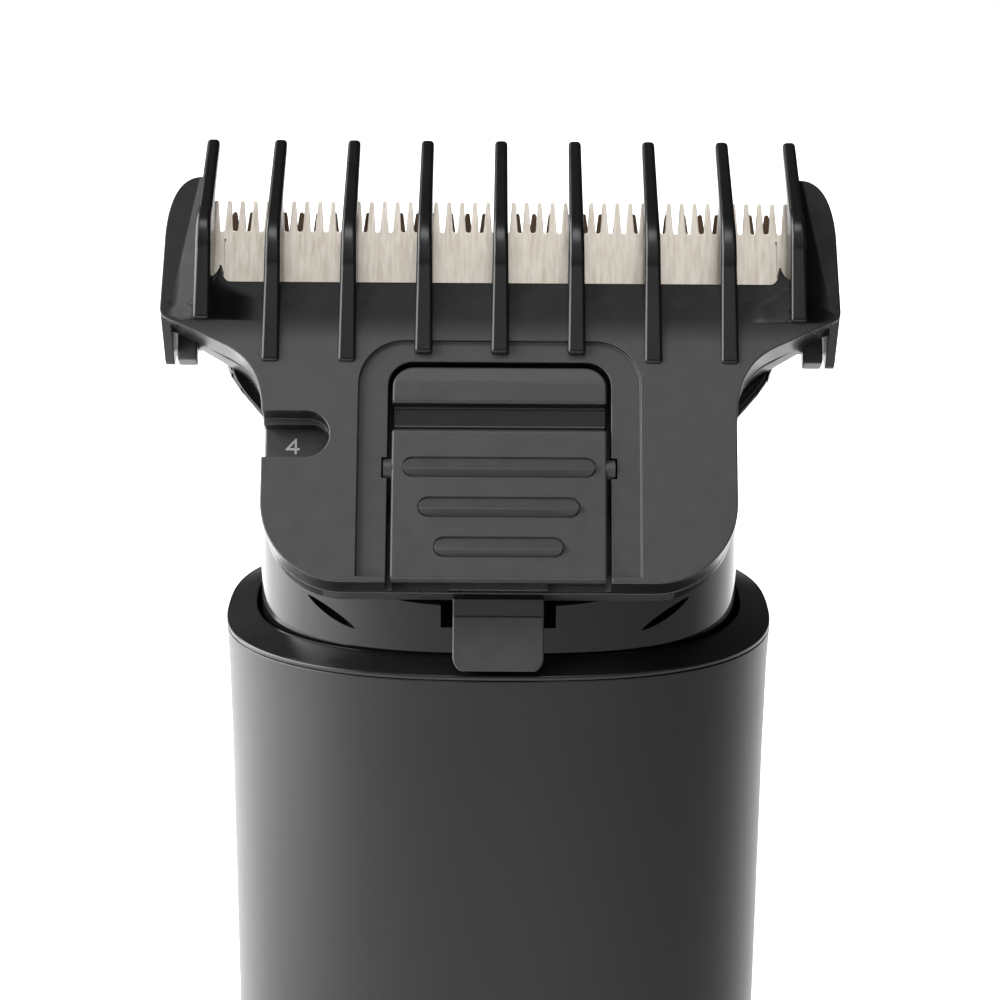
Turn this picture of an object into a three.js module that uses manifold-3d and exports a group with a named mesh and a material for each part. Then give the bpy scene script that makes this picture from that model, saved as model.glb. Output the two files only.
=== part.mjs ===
// A cordless hair clipper with an adjustable comb clipped on its cutting head.
// Millimetres, +Z up the body. The clipper stands on its base at Z = 0, its skin side (comb and blade)
// faces -Y, its thumb side (button and indicator) faces +Y, and the origin is the middle of the base.
import * as THREE from "three";
import { mergeVertices } from "three/addons/utils/BufferGeometryUtils.js";
import Module from "manifold-3d";

const wasm = await Module();
wasm.setup();

// ---------------------------------------------------------------- driving dimensions
const GAP = 0.3; // air between touching pieces
const ROUND_STEPS = 56; // points round the body's section
const SECTION_POWER = 2.6; // the body's section is a superellipse of this power

const RIM_Z = 134; // top edge of the grey shell
const SHELL_WALL = 1.6;
// [height, half width, half depth] of the shell's outside
const SHELL_SECTIONS = [
  [4.0, 17.7, 15.5],
  [9.0, 18.5, 16.2],
  [30, 18.9, 16.6],
  [65, 19.6, 17.2],
  [100, 20.42, 17.95],
  [124, 20.68, 18.3],
  [131, 20.85, 18.35],
  [RIM_Z - 0.6, 21.0, 18.4],
];
const RIM = { a: 21.0, b: 18.4 };
const COLLAR_RISE = 0.86; // the collar climbs this much from the rim to the neck
const NECK = { a: 18.3, b: 15.9, wall: 1.8, bottom: 122, top: RIM_Z + 8, frontTop: RIM_Z + 4.5, slope: 6 };

const CELL = { radius: 9.1, length: 65, y: -2.2, bottom: 15 };
const MOTOR = { radius: 11.5, bottom: 104, top: 136 };
const CAM = { offset: 1.0, pin: 0.9, roller: 1.6, bottom: 146, top: 149.7 };
const BLADE_STROKE = 1.0; // the moving blade swings this far to each side

const BUTTON = { z: 78, halfX: 5, halfZ: 7, inner: 12.7, outer: 18.1 };
const LIGHT = { z: 58, halfX: 3, halfZ: 0.9 };
const CHASSIS = { bottom: 11, top: 102, rail: 9.6, plateY: -12.9 };
const BASE_SCREW = { x: 7, y: -6.5, head: 1.7, shank: 0.65, sunk: 0.4 };
const BASE_SCREWS = [
  ["left", -BASE_SCREW.x],
  ["right", BASE_SCREW.x],
];
const BOARD = { y: 9.2, thick: 1.2, halfX: 9.4, bottom: 14, top: 96 };
const SOCKET = { y: 6, halfX: 4.5, halfY: 1.6, bottom: 0.8, top: 8.3 };

// The comb's own frame: x across, z up along its face, y back into the clipper.
const HEAD = { lean: 30, y: -20.2, z: RIM_Z + 7.63 };
const COMB = {
  stemHalf: 17.15,
  wingHalf: 24.85,
  thick: 3.2,
  cornerRadius: 6,
  wingCornerZ: 20.0,
  wingTopZ: 31.7,
  cutZ: 22.8,
  cutHalf: 19.76,
  slotHalf: 21.7,
  bendZ: 19.3, // above this line the face falls back towards the blade
  bendAngle: 12.5,
};
const LEVER = { half: 7.75, bottom: 0.3, top: 16.0, pivotZ: 8.57, pivotY: 0.9, thick: 1.3 };
const OPENING = { half: 8.06, bottom: 1.2, top: 16.55, radius: 1.8 };
const RECESS = { half: 10.2, bottom: 0.44, top: 18.07, depth: 0.35, radius: 3.3 };
const WINDOW = { bottom: 9.24, top: 12.69, inner: 12.25 };
const CARRIER = { front: COMB.thick + GAP, back: 5.6, top: 16.9, armTop: 20.1 };
// The hook under each wing: the comb's leg outside, the carrier's clip inside
const LEG = { inner: 24.1, outer: 24.8, front: 0.3, back: 5.4, deep: 8, low: 17.8, top: 24.5 };
const CLIP = { inner: 22.4, outer: LEG.inner - 0.25, front: 4.0, low: 17.8, top: 22, hookBack: 9.0, hookLow: 20 };
const NOTCH_PITCH = 2.0; // one length setting to the next
const NOTCHES = 4;

const TINE_X = [0, 5.56, 11.12, 16.68, 21.78];
// A tine's side: how far it stands off the face (under zero is behind it) at heights up the face
const TINE = {
  foot: 0.25,
  ridge: [23.5, 0.5], // the low ridge over the blade starts here,
  crest: [25.75, 1.3], // its curve is drawn towards this point,
  lean: [27.7, 0.05], // and here the tine starts to lean back
  tip: [35.45, -4.98],
  tipRound: 0.4,
  under: -3.1,
  underZ: 30.5,
  root: 1.5, // how far the tine reaches down behind the plate's cut edge
};
const END_RIDGE_LIFT = 1.4; // the end tines' ridges sit this much higher
// [height, thickness] up a tine
const TINE_THICK = [
  [16, 1.42],
  [24, 1.28],
  [26, 1.2],
  [28.4, 1.03],
  [36, 0.94],
];
const TINE_FOOT = [17.1, 17.1, 16.4, 16.4, 19.6]; // lowest point of each tine, middle to end

const BLADE = { half: 21.71, bottom: 20.6, root: 27.65, tip: 29.95, thick: 0.5, front: COMB.thick + GAP };
const TEETH = 45;
// Layers behind the fixed blade, counted back from its front face
const MOVING_FRONT = BLADE.front + BLADE.thick + GAP;
const CARRIAGE = { front: MOVING_FRONT + BLADE.thick + GAP, back: MOVING_FRONT + BLADE.thick + 2.6 };
const HOUSING = { front: CARRIER.back + GAP, wall: 1.1, ledge: MOVING_FRONT + BLADE.thick + 0.4 };

// ---------------------------------------------------------------- shape helpers
function toSolid(geometry) {
  const bare = geometry.index ? geometry.toNonIndexed() : geometry.clone();
  bare.deleteAttribute("normal");
  bare.deleteAttribute("uv");
  const merged = mergeVertices(bare, 1e-4);
  return new wasm.Manifold(
    new wasm.Mesh({
      numProp: 3,
      vertProperties: new Float32Array(merged.attributes.position.array),
      triVerts: new Uint32Array(merged.index.array),
    }),
  );
}

function toGeometry(solid) {
  const mesh = solid.getMesh();
  const geometry = new THREE.BufferGeometry();
  geometry.setAttribute("position", new THREE.BufferAttribute(new Float32Array(mesh.vertProperties), 3));
  geometry.setIndex(new THREE.BufferAttribute(new Uint32Array(mesh.triVerts), 1));
  geometry.computeVertexNormals();
  return geometry;
}

function join(first, ...others) {
  return toGeometry(others.reduce((sum, other) => sum.add(toSolid(other)), toSolid(first)));
}

function cut(first, ...others) {
  return toGeometry(others.reduce((rest, other) => rest.subtract(toSolid(other)), toSolid(first)));
}

function common(first, second) {
  return toGeometry(toSolid(first).intersect(toSolid(second)));
}

function box(x0, x1, y0, y1, z0, z1) {
  const geometry = new THREE.BoxGeometry(x1 - x0, y1 - y0, z1 - z0);
  return geometry.translate((x0 + x1) / 2, (y0 + y1) / 2, (z0 + z1) / 2);
}

// A cylinder along Z
function rod(radius, z0, z1, x = 0, y = 0, steps = 24) {
  const geometry = new THREE.CylinderGeometry(radius, radius, z1 - z0, steps);
  return geometry.rotateX(Math.PI / 2).translate(x, y, (z0 + z1) / 2);
}

// A cylinder along Y
function rodY(radius, y0, y1, x, z, steps = 16) {
  return new THREE.CylinderGeometry(radius, radius, y1 - y0, steps).translate(x, (y0 + y1) / 2, z);
}

// A cylinder along X
function rodX(radius, x0, x1, y, z, steps = 16) {
  const geometry = new THREE.CylinderGeometry(radius, radius, x1 - x0, steps);
  return geometry.rotateZ(Math.PI / 2).translate((x0 + x1) / 2, y, z);
}

// An outline in (x, z), pushed back along Y from y0 to y1
function slab(shape, y0, y1, curveSegments = 6) {
  const geometry = new THREE.ExtrudeGeometry(shape, { depth: y1 - y0, bevelEnabled: false, curveSegments });
  return geometry.rotateX(Math.PI / 2).translate(0, y1, 0);
}

// An outline in (y, z), pushed along X from x0 to x1
function rib(points, x0, x1) {
  const shape = new THREE.Shape(points.map(([y, z]) => new THREE.Vector2(y, z)));
  const geometry = new THREE.ExtrudeGeometry(shape, { depth: x1 - x0, bevelEnabled: false });
  return geometry.rotateY(Math.PI / 2).rotateX(Math.PI / 2).translate(x0, 0, 0);
}

function superellipse(a, b, z, steps = ROUND_STEPS) {
  const power = 2 / SECTION_POWER;
  return Array.from({ length: steps }, (_, i) => {
    const t = (i / steps) * 2 * Math.PI;
    const x = Math.sign(Math.cos(t)) * Math.abs(Math.cos(t)) ** power;
    const y = Math.sign(Math.sin(t)) * Math.abs(Math.sin(t)) ** power;
    return new THREE.Vector3(a * x, b * y, z);
  });
}

// Skins a list of rings. A closed loft joins its last ring to its first and is a tube; an open one gets ends.
function loft(rings, closed = false) {
  const steps = rings[0].length;
  const position = rings.flat().flatMap((p) => [p.x, p.y, p.z]);
  const index = [];
  const spans = closed ? rings.length : rings.length - 1;
  for (let r = 0; r < spans; r++) {
    const low = r * steps;
    const high = ((r + 1) % rings.length) * steps;
    for (let i = 0; i < steps; i++) {
      const j = (i + 1) % steps;
      index.push(low + i, low + j, high + j, low + i, high + j, high + i);
    }
  }
  if (!closed) {
    const top = (rings.length - 1) * steps;
    for (let i = 1; i < steps - 1; i++) {
      index.push(0, i + 1, i);
      index.push(top, top + i, top + i + 1);
    }
  }
  const geometry = new THREE.BufferGeometry();
  geometry.setAttribute("position", new THREE.Float32BufferAttribute(position, 3));
  geometry.setIndex(index);
  return geometry;
}

// A tube of superellipse section: outer sections upwards, inner ones back down
function sleeve(outer, inner) {
  return loft([...outer, ...[...inner].reverse()].map(([z, a, b]) => superellipse(a, b, z)), true);
}

function solidSection(sections) {
  return loft(sections.map(([z, a, b]) => superellipse(a, b, z)));
}

// ---------------------------------------------------------------- materials
const colours = {
  shell: [0x4a4a4b, 0.42, 0.0],
  gloss: [0x0d0d0e, 0.08, 0.0],
  comb: [0x343435, 0.55, 0.0],
  blade: [0xd9cfbf, 0.3, 1.0],
  steel: [0x9a9a9c, 0.3, 1.0],
  brass: [0xb08d4a, 0.35, 1.0],
  board: [0x1f5a35, 0.6, 0.0],
  wrap: [0x2f6f9f, 0.45, 0.0],
  rubber: [0x151515, 0.8, 0.0],
  frame: [0x5c5f62, 0.6, 0.0],
  lens: [0xe8eef2, 0.2, 0.0],
};

function material(name) {
  const [color, roughness, metalness] = colours[name];
  return new THREE.MeshStandardMaterial({ color, roughness, metalness });
}

function piece(group, name, geometry, look) {
  const mesh = new THREE.Mesh(geometry, material(look));
  mesh.name = name;
  group.add(mesh);
  return mesh;
}

const clipper = new THREE.Group();

// ---------------------------------------------------------------- body
function buttonHole() {
  const shape = new THREE.Shape();
  shape.absellipse(0, BUTTON.z, BUTTON.halfX + 0.35, BUTTON.halfZ + 0.35, 0, 2 * Math.PI, false, 0);
  return slab(shape, 10, 24, 10);
}

function lightHole() {
  return capsuleSlab(LIGHT.halfX + GAP, LIGHT.halfZ + GAP, LIGHT.z, 10, 24);
}

// A flat-sided capsule lying along X, pushed along Y
function capsuleSlab(halfX, halfZ, z, y0, y1) {
  const shape = new THREE.Shape();
  const straight = halfX - halfZ;
  shape.absarc(straight, z, halfZ, -Math.PI / 2, Math.PI / 2, false);
  shape.absarc(-straight, z, halfZ, Math.PI / 2, 1.5 * Math.PI, false);
  return slab(shape, y0, y1, 5);
}

function bodyShell() {
  const inner = SHELL_SECTIONS.map(([z, a, b]) => [z, a - SHELL_WALL, b - SHELL_WALL]);
  return cut(sleeve(SHELL_SECTIONS, inner), buttonHole(), lightHole());
}
piece(clipper, "body_shell", bodyShell(), "shell");

// The gloss ring between the shell's rim and the neck, with a lip down inside the shell
function collarRing() {
  const low = RIM_Z - 0.3;
  const outer = [
    [low, RIM.a, RIM.b],
    [RIM_Z, RIM.a, RIM.b],
    [RIM_Z + COLLAR_RISE, RIM.a - 2.2, RIM.b - 2.2],
  ];
  const bore = { a: NECK.a + 0.35, b: NECK.b + 0.35 };
  const lip = 0.4;
  const inner = [
    [low, bore.a + lip, bore.b + lip],
    [low - 3.4, bore.a + lip, bore.b + lip],
    [low - 3.4, bore.a, bore.b],
    [RIM_Z + COLLAR_RISE, bore.a, bore.b],
  ];
  return loft([...outer, ...[...inner].reverse()].map(([z, a, b]) => superellipse(a, b, z)), true);
}
piece(clipper, "collar_ring", collarRing(), "gloss");

function neckGasket() {
  const sizes = [NECK.a + 0.3, NECK.a + 0.75];
  const depths = [NECK.b + 0.3, NECK.b + 0.75];
  const outer = [124.5, 127].map((z) => [z, sizes[1], depths[1]]);
  const inner = [124.5, 127].map((z) => [z, sizes[0], depths[0]]);
  return sleeve(outer, inner);
}
piece(clipper, "neck_gasket", neckGasket(), "rubber");

// The cap closes the body's lower end; the charging socket looks out through it
function baseCap() {
  const dish = solidSection([
    [0, 15.6, 13.5],
    [1.4, 17.1, 14.9],
    [3.7, 17.7, 15.5],
  ]);
  const plug = solidSection([
    [3.0, 15.2, 13.0],
    [7.5, 15.2, 13.0],
  ]);
  const hollow = solidSection([
    [2.4, 13.6, 11.4],
    [9.0, 13.6, 11.4],
  ]);
  const mouth = box(-SOCKET.halfX - GAP, SOCKET.halfX + GAP, SOCKET.y - 1.9, SOCKET.y + 1.9, -1, 3);
  const { y, head, shank, sunk } = BASE_SCREW;
  const screwHoles = BASE_SCREWS.flatMap(([, x]) => [
    rod(head + GAP, -1, sunk + 1.3, x, y, 16),
    rod(shank + GAP, 0, 4, x, y, 12),
  ]);
  return cut(join(dish, plug), hollow, mouth, ...screwHoles);
}
piece(clipper, "base_cap", baseCap(), "shell");

for (const [side, x] of BASE_SCREWS) {
  const { y, head, shank, sunk } = BASE_SCREW;
  const screw = join(rod(head, sunk, sunk + 1, x, y, 16), rod(shank, sunk, CHASSIS.bottom + 2, x, y, 12));
  const slot = box(x - 1.1, x + 1.1, y - 0.22, y + 0.22, 0, sunk + 0.5);
  piece(clipper, "base_screw_" + side, cut(screw, slot), "steel");
}

// ---------------------------------------------------------------- inside the body
// A tray behind the skin side: a plate, two side rails and shelves under and over the cell and the motor
function chassis() {
  const { bottom, top, rail, plateY } = CHASSIS;
  const plate = box(-rail, rail, plateY, plateY + 1.3, bottom, top);
  const rails = [-1, 1].map((side) => {
    const x0 = side < 0 ? -rail - 1.3 : rail - 0.2;
    return box(x0, x0 + 1.5, plateY + 1, BOARD.y - 0.6, bottom, top);
  });
  const shelves = [bottom, CELL.bottom + CELL.length + 2.2, top - 1.6].map((z) => {
    return box(-rail, rail, plateY + 0.5, 3, z, z + 1.6);
  });
  const pilots = BASE_SCREWS.map(([, x]) => rod(0.95, bottom - 1, bottom + 3, x, BASE_SCREW.y, 12));
  return cut(join(plate, ...rails, ...shelves), ...pilots);
}
piece(clipper, "chassis", chassis(), "frame");

function batteryCell() {
  const body = rod(CELL.radius, CELL.bottom, CELL.bottom + CELL.length, 0, CELL.y, 32);
  const knob = rod(2.6, CELL.bottom + CELL.length - 1, CELL.bottom + CELL.length + 1, 0, CELL.y, 16);
  return join(body, knob);
}
piece(clipper, "battery_cell", batteryCell(), "wrap");

function batteryTab(z0, z1) {
  return box(-2.5, 2.5, CELL.y - 3, BOARD.y - GAP - 0.4, z0, z1);
}
const cellTop = CELL.bottom + CELL.length;
piece(clipper, "battery_tab_top", batteryTab(cellTop + 1.3, cellTop + 1.6), "steel");
piece(clipper, "battery_tab_bottom", batteryTab(CELL.bottom - 0.8, CELL.bottom - 0.4), "steel");

piece(
  clipper,
  "circuit_board",
  box(-BOARD.halfX, BOARD.halfX, BOARD.y, BOARD.y + BOARD.thick, BOARD.bottom, BOARD.top),
  "board",
);
const boardFace = BOARD.y + BOARD.thick + GAP;
piece(clipper, "control_chip", box(-3, 3, boardFace, boardFace + 1, 36, 42), "rubber");
piece(clipper, "power_switch", box(-2.2, 2.2, boardFace, 12.0, BUTTON.z - 2.2, BUTTON.z + 2.2), "steel");

function lightGuide() {
  return capsuleSlab(LIGHT.halfX, LIGHT.halfZ, LIGHT.z, boardFace, 16.95);
}
piece(clipper, "light_guide", lightGuide(), "lens");

function powerButton() {
  const shape = new THREE.Shape();
  shape.absellipse(0, BUTTON.z, BUTTON.halfX, BUTTON.halfZ, 0, 2 * Math.PI, false, 0);
  const flange = new THREE.Shape();
  flange.absellipse(0, BUTTON.z, BUTTON.halfX + 1.2, BUTTON.halfZ + 1.2, 0, 2 * Math.PI, false, 0);
  return join(slab(shape, BUTTON.inner, BUTTON.outer, 10), slab(flange, BUTTON.inner, BUTTON.inner + 0.9, 10));
}
piece(clipper, "power_button", powerButton(), "gloss");

// The metal shell of a charging socket with its contact tongue, open downwards
function chargeSocket() {
  const { y, halfX, halfY, bottom, top } = SOCKET;
  const can = box(-halfX, halfX, y - halfY, y + halfY, bottom, top);
  const mouth = box(-halfX + 0.35, halfX - 0.35, y - halfY + 0.35, y + halfY - 0.35, bottom - 1, top - 0.8);
  const tongue = box(-3.3, 3.3, y - 0.35, y + 0.35, bottom + 1, top - 0.5);
  return join(cut(can, mouth), tongue);
}
piece(clipper, "charge_socket", chargeSocket(), "steel");

// ---------------------------------------------------------------- motor and drive
function motorCan() {
  const can = rod(MOTOR.radius, MOTOR.bottom, MOTOR.top - 1.2, 0, 0, 36);
  const boss = rod(3.5, MOTOR.top - 2, MOTOR.top, 0, 0, 20);
  const bore = rod(1.4, MOTOR.top - 3, MOTOR.top + 1, 0, 0, 16);
  return cut(join(can, boss), bore);
}
piece(clipper, "motor_can", motorCan(), "steel");

function motorHolder() {
  const ring = solidSection([
    [108, 18.4, 15.85],
    [116, 18.5, 15.95],
  ]);
  return cut(ring, rod(MOTOR.radius + GAP, 107, 117, 0, 0, 36));
}
piece(clipper, "motor_holder", motorHolder(), "frame");

// A contact under the motor on each side, and the lead that runs from it down to the board
function motorLead(x) {
  const path = new THREE.CatmullRomCurve3([
    new THREE.Vector3(x, 0.9, MOTOR.bottom - 0.9),
    new THREE.Vector3(x, 4.2, MOTOR.bottom - 1.2),
    new THREE.Vector3(x, 6.9, 98),
    new THREE.Vector3(x, BOARD.y - 0.9, 91),
  ]);
  const section = new THREE.Shape();
  section.absarc(0, 0, 0.5, 0, 2 * Math.PI, false);
  return new THREE.ExtrudeGeometry(section, { extrudePath: path, steps: 12, curveSegments: 4 });
}

for (const [side, x] of [
  ["left", -5],
  ["right", 5],
]) {
  const contact = box(x - 1.5, x + 1.5, -0.4, 0.4, MOTOR.bottom - 1.5, MOTOR.bottom - GAP);
  piece(clipper, "motor_contact_" + side, contact, "brass");
  piece(clipper, "motor_lead_" + side, motorLead(x), "rubber");
}

function driveCam() {
  const shaft = rod(1.0, MOTOR.top - 2.7, 142, 0, 0, 16);
  const disc = rod(4.0, 141, 143.5, 0, 0, 28);
  const pin = rod(CAM.pin, 143, 150.2, 0, CAM.offset, 16);
  return join(shaft, disc, pin);
}
piece(clipper, "drive_cam", driveCam(), "steel");

piece(
  clipper,
  "cam_roller",
  cut(
    rod(CAM.roller, CAM.bottom, CAM.top, 0, CAM.offset, 20),
    rod(CAM.pin + GAP, CAM.bottom - 1, CAM.top + 1, 0, CAM.offset, 16),
  ),
  "brass",
);

// ---------------------------------------------------------------- cutting head
// A point of the comb's frame, given back and up along the face, as (y, z) of the body's frame
const lean = THREE.MathUtils.degToRad(HEAD.lean);
function headPoint(back, up) {
  return [
    HEAD.y + up * Math.sin(lean) + back * Math.cos(lean),
    HEAD.z + up * Math.cos(lean) - back * Math.sin(lean),
  ];
}

// Everything above the seam between neck and housing: it climbs from the front, then runs level
function aboveSeam(lift) {
  const { b, top, frontTop, slope } = NECK;
  const points = [
    [-b - 4, frontTop + lift - (4 * (top - frontTop)) / slope],
    [-b + slope, top + lift],
    [b + 4, top + lift],
    [b + 4, 180],
    [-b - 4, 180],
  ];
  return rib(points, -30, 30);
}

// The gloss neck that stands in the collar, with a notch for the comb's tab
function neckTube() {
  const { a, b, wall, bottom, top } = NECK;
  const tube = sleeve(
    [
      [bottom, a, b],
      [top, a, b],
    ],
    [
      [bottom, a - wall, b - wall],
      [top, a - wall, b - wall],
    ],
  );
  const notch = box(-4.2, 4.2, -b - 1, -b + wall + 0.5, RIM_Z + 2.9, top + 1);
  return cut(tube, notch, aboveSeam(0));
}
piece(clipper, "head_neck", neckTube(), "gloss");

// The wedge above the neck that carries the blades, hollow for the drive
function headHousing() {
  const outside = solidSection([
    [NECK.frontTop, 18.0, 15.6],
    [149.5, 18.0, 15.6],
    [151, 18.9, 15.6],
    [153.6, 20.9, 15.6],
    [165, 20.9, 15.6],
  ]);
  const side = rib(
    [
      headPoint(HOUSING.front, -4),
      headPoint(HOUSING.front, 20.4),
      headPoint(HOUSING.ledge, 20.4),
      headPoint(HOUSING.ledge, 24.6),
      headPoint(HOUSING.ledge + 2.1, 26.2),
      [5.0, 158.5],
      [11.5, 150],
      [15.6, 143],
      [15.6, 136],
    ],
    -22,
    22,
  );
  const hollow = rib(
    [
      [-9.5, 138],
      [-9.5, 145.5],
      headPoint(HOUSING.front + HOUSING.wall, 19.2),
      headPoint(HOUSING.front + HOUSING.wall, 20.6),
      headPoint(HOUSING.ledge - 1, 20.6),
      headPoint(HOUSING.ledge - 1, 24.9),
      headPoint(CARRIAGE.back + 1.2, 24.9),
      [3.4, 154],
      [6.5, 148],
      [7.5, 138],
    ],
    -9.2,
    9.2,
  );
  return cut(common(common(outside, side), aboveSeam(GAP)), hollow);
}

const head = new THREE.Group();
head.position.set(0, HEAD.y, HEAD.z);
head.rotation.x = -lean;
clipper.add(head);

const SCREW_X = 12.5;
const SCREW_Z = 18.9;
const screwSides = [
  ["left", -SCREW_X],
  ["right", SCREW_X],
];

function housingWithScrewHoles() {
  const holes = screwSides.map(([, x]) => rodY(1.15, 5, 9, x, SCREW_Z));
  holes.forEach((hole) => hole.rotateX(-lean).translate(0, HEAD.y, HEAD.z));
  return cut(headHousing(), ...holes);
}
piece(clipper, "head_housing", housingWithScrewHoles(), "gloss");

// An outline with a row of teeth along its top edge
function toothedShape(half, bottom, root, tip, count, widthRoot, widthTip) {
  const pitch = (2 * half) / count;
  const shape = new THREE.Shape();
  const corner = 1.4;
  shape.moveTo(-half, bottom + corner);
  shape.quadraticCurveTo(-half, bottom, -half + corner, bottom);
  shape.lineTo(half - corner, bottom);
  shape.quadraticCurveTo(half, bottom, half, bottom + corner);
  for (let i = count - 1; i >= 0; i--) {
    const x = -half + (i + 0.5) * pitch;
    const atEnd = i === count - 1;
    shape.lineTo(atEnd ? half : x + widthRoot / 2, root);
    shape.lineTo(x + widthTip / 2, tip);
    shape.lineTo(x - widthTip / 2, tip);
    shape.lineTo(i === 0 ? -half : x - widthRoot / 2, root);
  }
  shape.closePath();
  return shape;
}

function fixedBlade() {
  const { half, bottom, root, tip, thick, front } = BLADE;
  const edge = slab(toothedShape(half, bottom, root, tip, TEETH, 0.62, 0.26), front, front + thick, 3);
  const foot = box(-15, 15, front, front + thick, 17.4, bottom + 1);
  const holes = screwSides.map(([, x]) => rodY(1.55, front - 1, front + 2, x, SCREW_Z));
  return cut(join(edge, foot), ...holes);
}
piece(head, "fixed_blade", fixedBlade(), "blade");

function movingBlade() {
  const half = BLADE.half - BLADE_STROKE - 0.2;
  const shape = toothedShape(half, 20.95, BLADE.root - 0.3, BLADE.tip - 0.6, 33, 0.78, 0.3);
  return slab(shape, MOVING_FRONT, MOVING_FRONT + BLADE.thick, 3);
}
piece(head, "moving_blade", movingBlade(), "steel");

function bladeSpacer() {
  const block = box(-15, 15, MOVING_FRONT, HOUSING.front - GAP, 17.4, 20.3);
  return cut(block, ...screwSides.map(([, x]) => rodY(1.15, 3, 7, x, SCREW_Z)));
}
piece(head, "blade_spacer", bladeSpacer(), "frame");

for (const [side, x] of screwSides) {
  const front = BLADE.front + 0.05;
  const cap = rodY(1.2, front, front + 0.55, x, SCREW_Z);
  const slot = box(x - 0.8, x + 0.8, front - 0.5, front + 0.25, SCREW_Z - 0.18, SCREW_Z + 0.18);
  piece(head, "blade_screw_" + side, cut(join(cap, rodY(0.8, front, 8, x, SCREW_Z)), slot), "steel");
}

// The plastic block behind the moving blade, with the fork that straddles the cam roller
function bladeCarriage() {
  const fork = [-1, 1].map((side) => {
    const x0 = side < 0 ? -6 : 4.4;
    return rib(
      [
        headPoint(CARRIAGE.front + 0.2, 21.4),
        headPoint(CARRIAGE.front + 0.2, 23.2),
        headPoint(CARRIAGE.back - 0.1, 23.2),
        [2.8, 152],
        [2.8, 145.8],
        [-2.8, 145.8],
        [-2.8, 150.5],
        headPoint(CARRIAGE.back + 0.05, 20.2),
        headPoint(CARRIAGE.back + 0.05, 21.4),
      ],
      x0,
      x0 + 1.6,
    );
  });
  const block = box(-7.8, 7.8, CARRIAGE.front, CARRIAGE.back, 21.4, 24.3);
  block.rotateX(-lean).translate(0, HEAD.y, HEAD.z);
  return join(block, ...fork);
}
piece(clipper, "blade_carriage", bladeCarriage(), "frame");

piece(head, "blade_spring", box(-3, 3, CARRIAGE.back + 0.4, CARRIAGE.back + 0.7, 20.8, 24.3), "steel");

// ---------------------------------------------------------------- comb carrier
// Follows the right half of the comb's outline from the middle of its lower edge to the wing's lower corner
function traceLowerOutline(shape, half, wingHalf, wingZ) {
  const radius = COMB.cornerRadius;
  shape.lineTo(half - radius, 0);
  shape.bezierCurveTo(half - 0.45 * radius, 0, half, 0.45 * radius, half, radius);
  shape.lineTo(half, 11.6);
  shape.bezierCurveTo(half, 14.6, half + 0.6, 16.6, half + 3.0, 17.75);
  shape.lineTo(wingHalf - 0.4, wingZ - 0.2);
}

function mirrorHalf(build) {
  const right = new THREE.Shape();
  build(right);
  const points = right.getPoints(5);
  const left = points.map((p) => new THREE.Vector2(-p.x, p.y)).reverse();
  const inner = points.filter((p) => Math.abs(p.x) > 1e-6);
  const innerLeft = left.filter((p) => Math.abs(p.x) > 1e-6);
  return new THREE.Shape([...inner, ...innerLeft]);
}

function carrierOutline() {
  return mirrorHalf((shape) => {
    shape.moveTo(0, 0);
    traceLowerOutline(shape, COMB.stemHalf, CLIP.outer, 19.9);
    shape.lineTo(CLIP.outer, CLIP.top);
    shape.lineTo(CLIP.inner, CLIP.top);
    shape.lineTo(CLIP.inner, CARRIER.armTop);
    shape.lineTo(17.4, CARRIER.armTop - 0.5);
    shape.lineTo(15.3, CARRIER.top);
    shape.lineTo(0, CARRIER.top);
  });
}

// The release tab: a strap in front of the neck and a lip that lies over the collar
function releaseTab() {
  const lip = rib(
    [
      [-17.3, RIM_Z + 5.6],
      [-17.3, RIM_Z + 4.2],
      [-19.0, RIM_Z + 0.6],
      [-18.3, RIM_Z + 0.45],
      [-16.35, RIM_Z + 3.6],
      [-16.35, RIM_Z + 5.6],
    ],
    -3.3,
    3.3,
  );
  lip.translate(0, -HEAD.y, -HEAD.z).rotateX(lean);
  return lip;
}

function combCarrier() {
  const plate = slab(carrierOutline(), CARRIER.front, CARRIER.back);
  const { inner, outer, front, low, top, hookBack, hookLow } = CLIP;
  const clips = [-1, 1].flatMap((side) => {
    const [x0, x1] = side < 0 ? [-outer, -inner] : [inner, outer];
    return [box(x0, x1, front, CARRIER.back, low, top), box(x0, x1, front, hookBack, hookLow, top)];
  });
  const notches = Array.from({ length: NOTCHES }, (_, i) => {
    const z = 2.2 + i * NOTCH_PITCH;
    return box(-4, 4, CARRIER.front - 1, CARRIER.front + 0.6, z - 0.5, z + 0.5);
  });
  return cut(join(plate, releaseTab(), ...clips), ...notches);
}
piece(head, "comb_carrier", combCarrier(), "comb");

// ---------------------------------------------------------------- comb
function combOutline() {
  return mirrorHalf((shape) => {
    shape.moveTo(0, 0);
    traceLowerOutline(shape, COMB.stemHalf, COMB.wingHalf, COMB.wingCornerZ);
    shape.quadraticCurveTo(COMB.wingHalf, COMB.wingCornerZ, COMB.wingHalf, COMB.wingCornerZ + 0.6);
    shape.lineTo(COMB.wingHalf - 0.05, 26.8);
    shape.bezierCurveTo(COMB.wingHalf - 0.15, 29.7, 23.95, COMB.wingTopZ, 22.3, COMB.wingTopZ);
    shape.lineTo(COMB.slotHalf, COMB.wingTopZ);
    shape.lineTo(COMB.slotHalf, COMB.cutZ + 0.3);
    shape.quadraticCurveTo(20.85, COMB.cutZ + 0.3, 20.58, COMB.cutZ + 1.45);
    shape.quadraticCurveTo(20.4, COMB.cutZ, COMB.cutHalf, COMB.cutZ);
    shape.lineTo(0, COMB.cutZ);
  });
}

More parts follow.
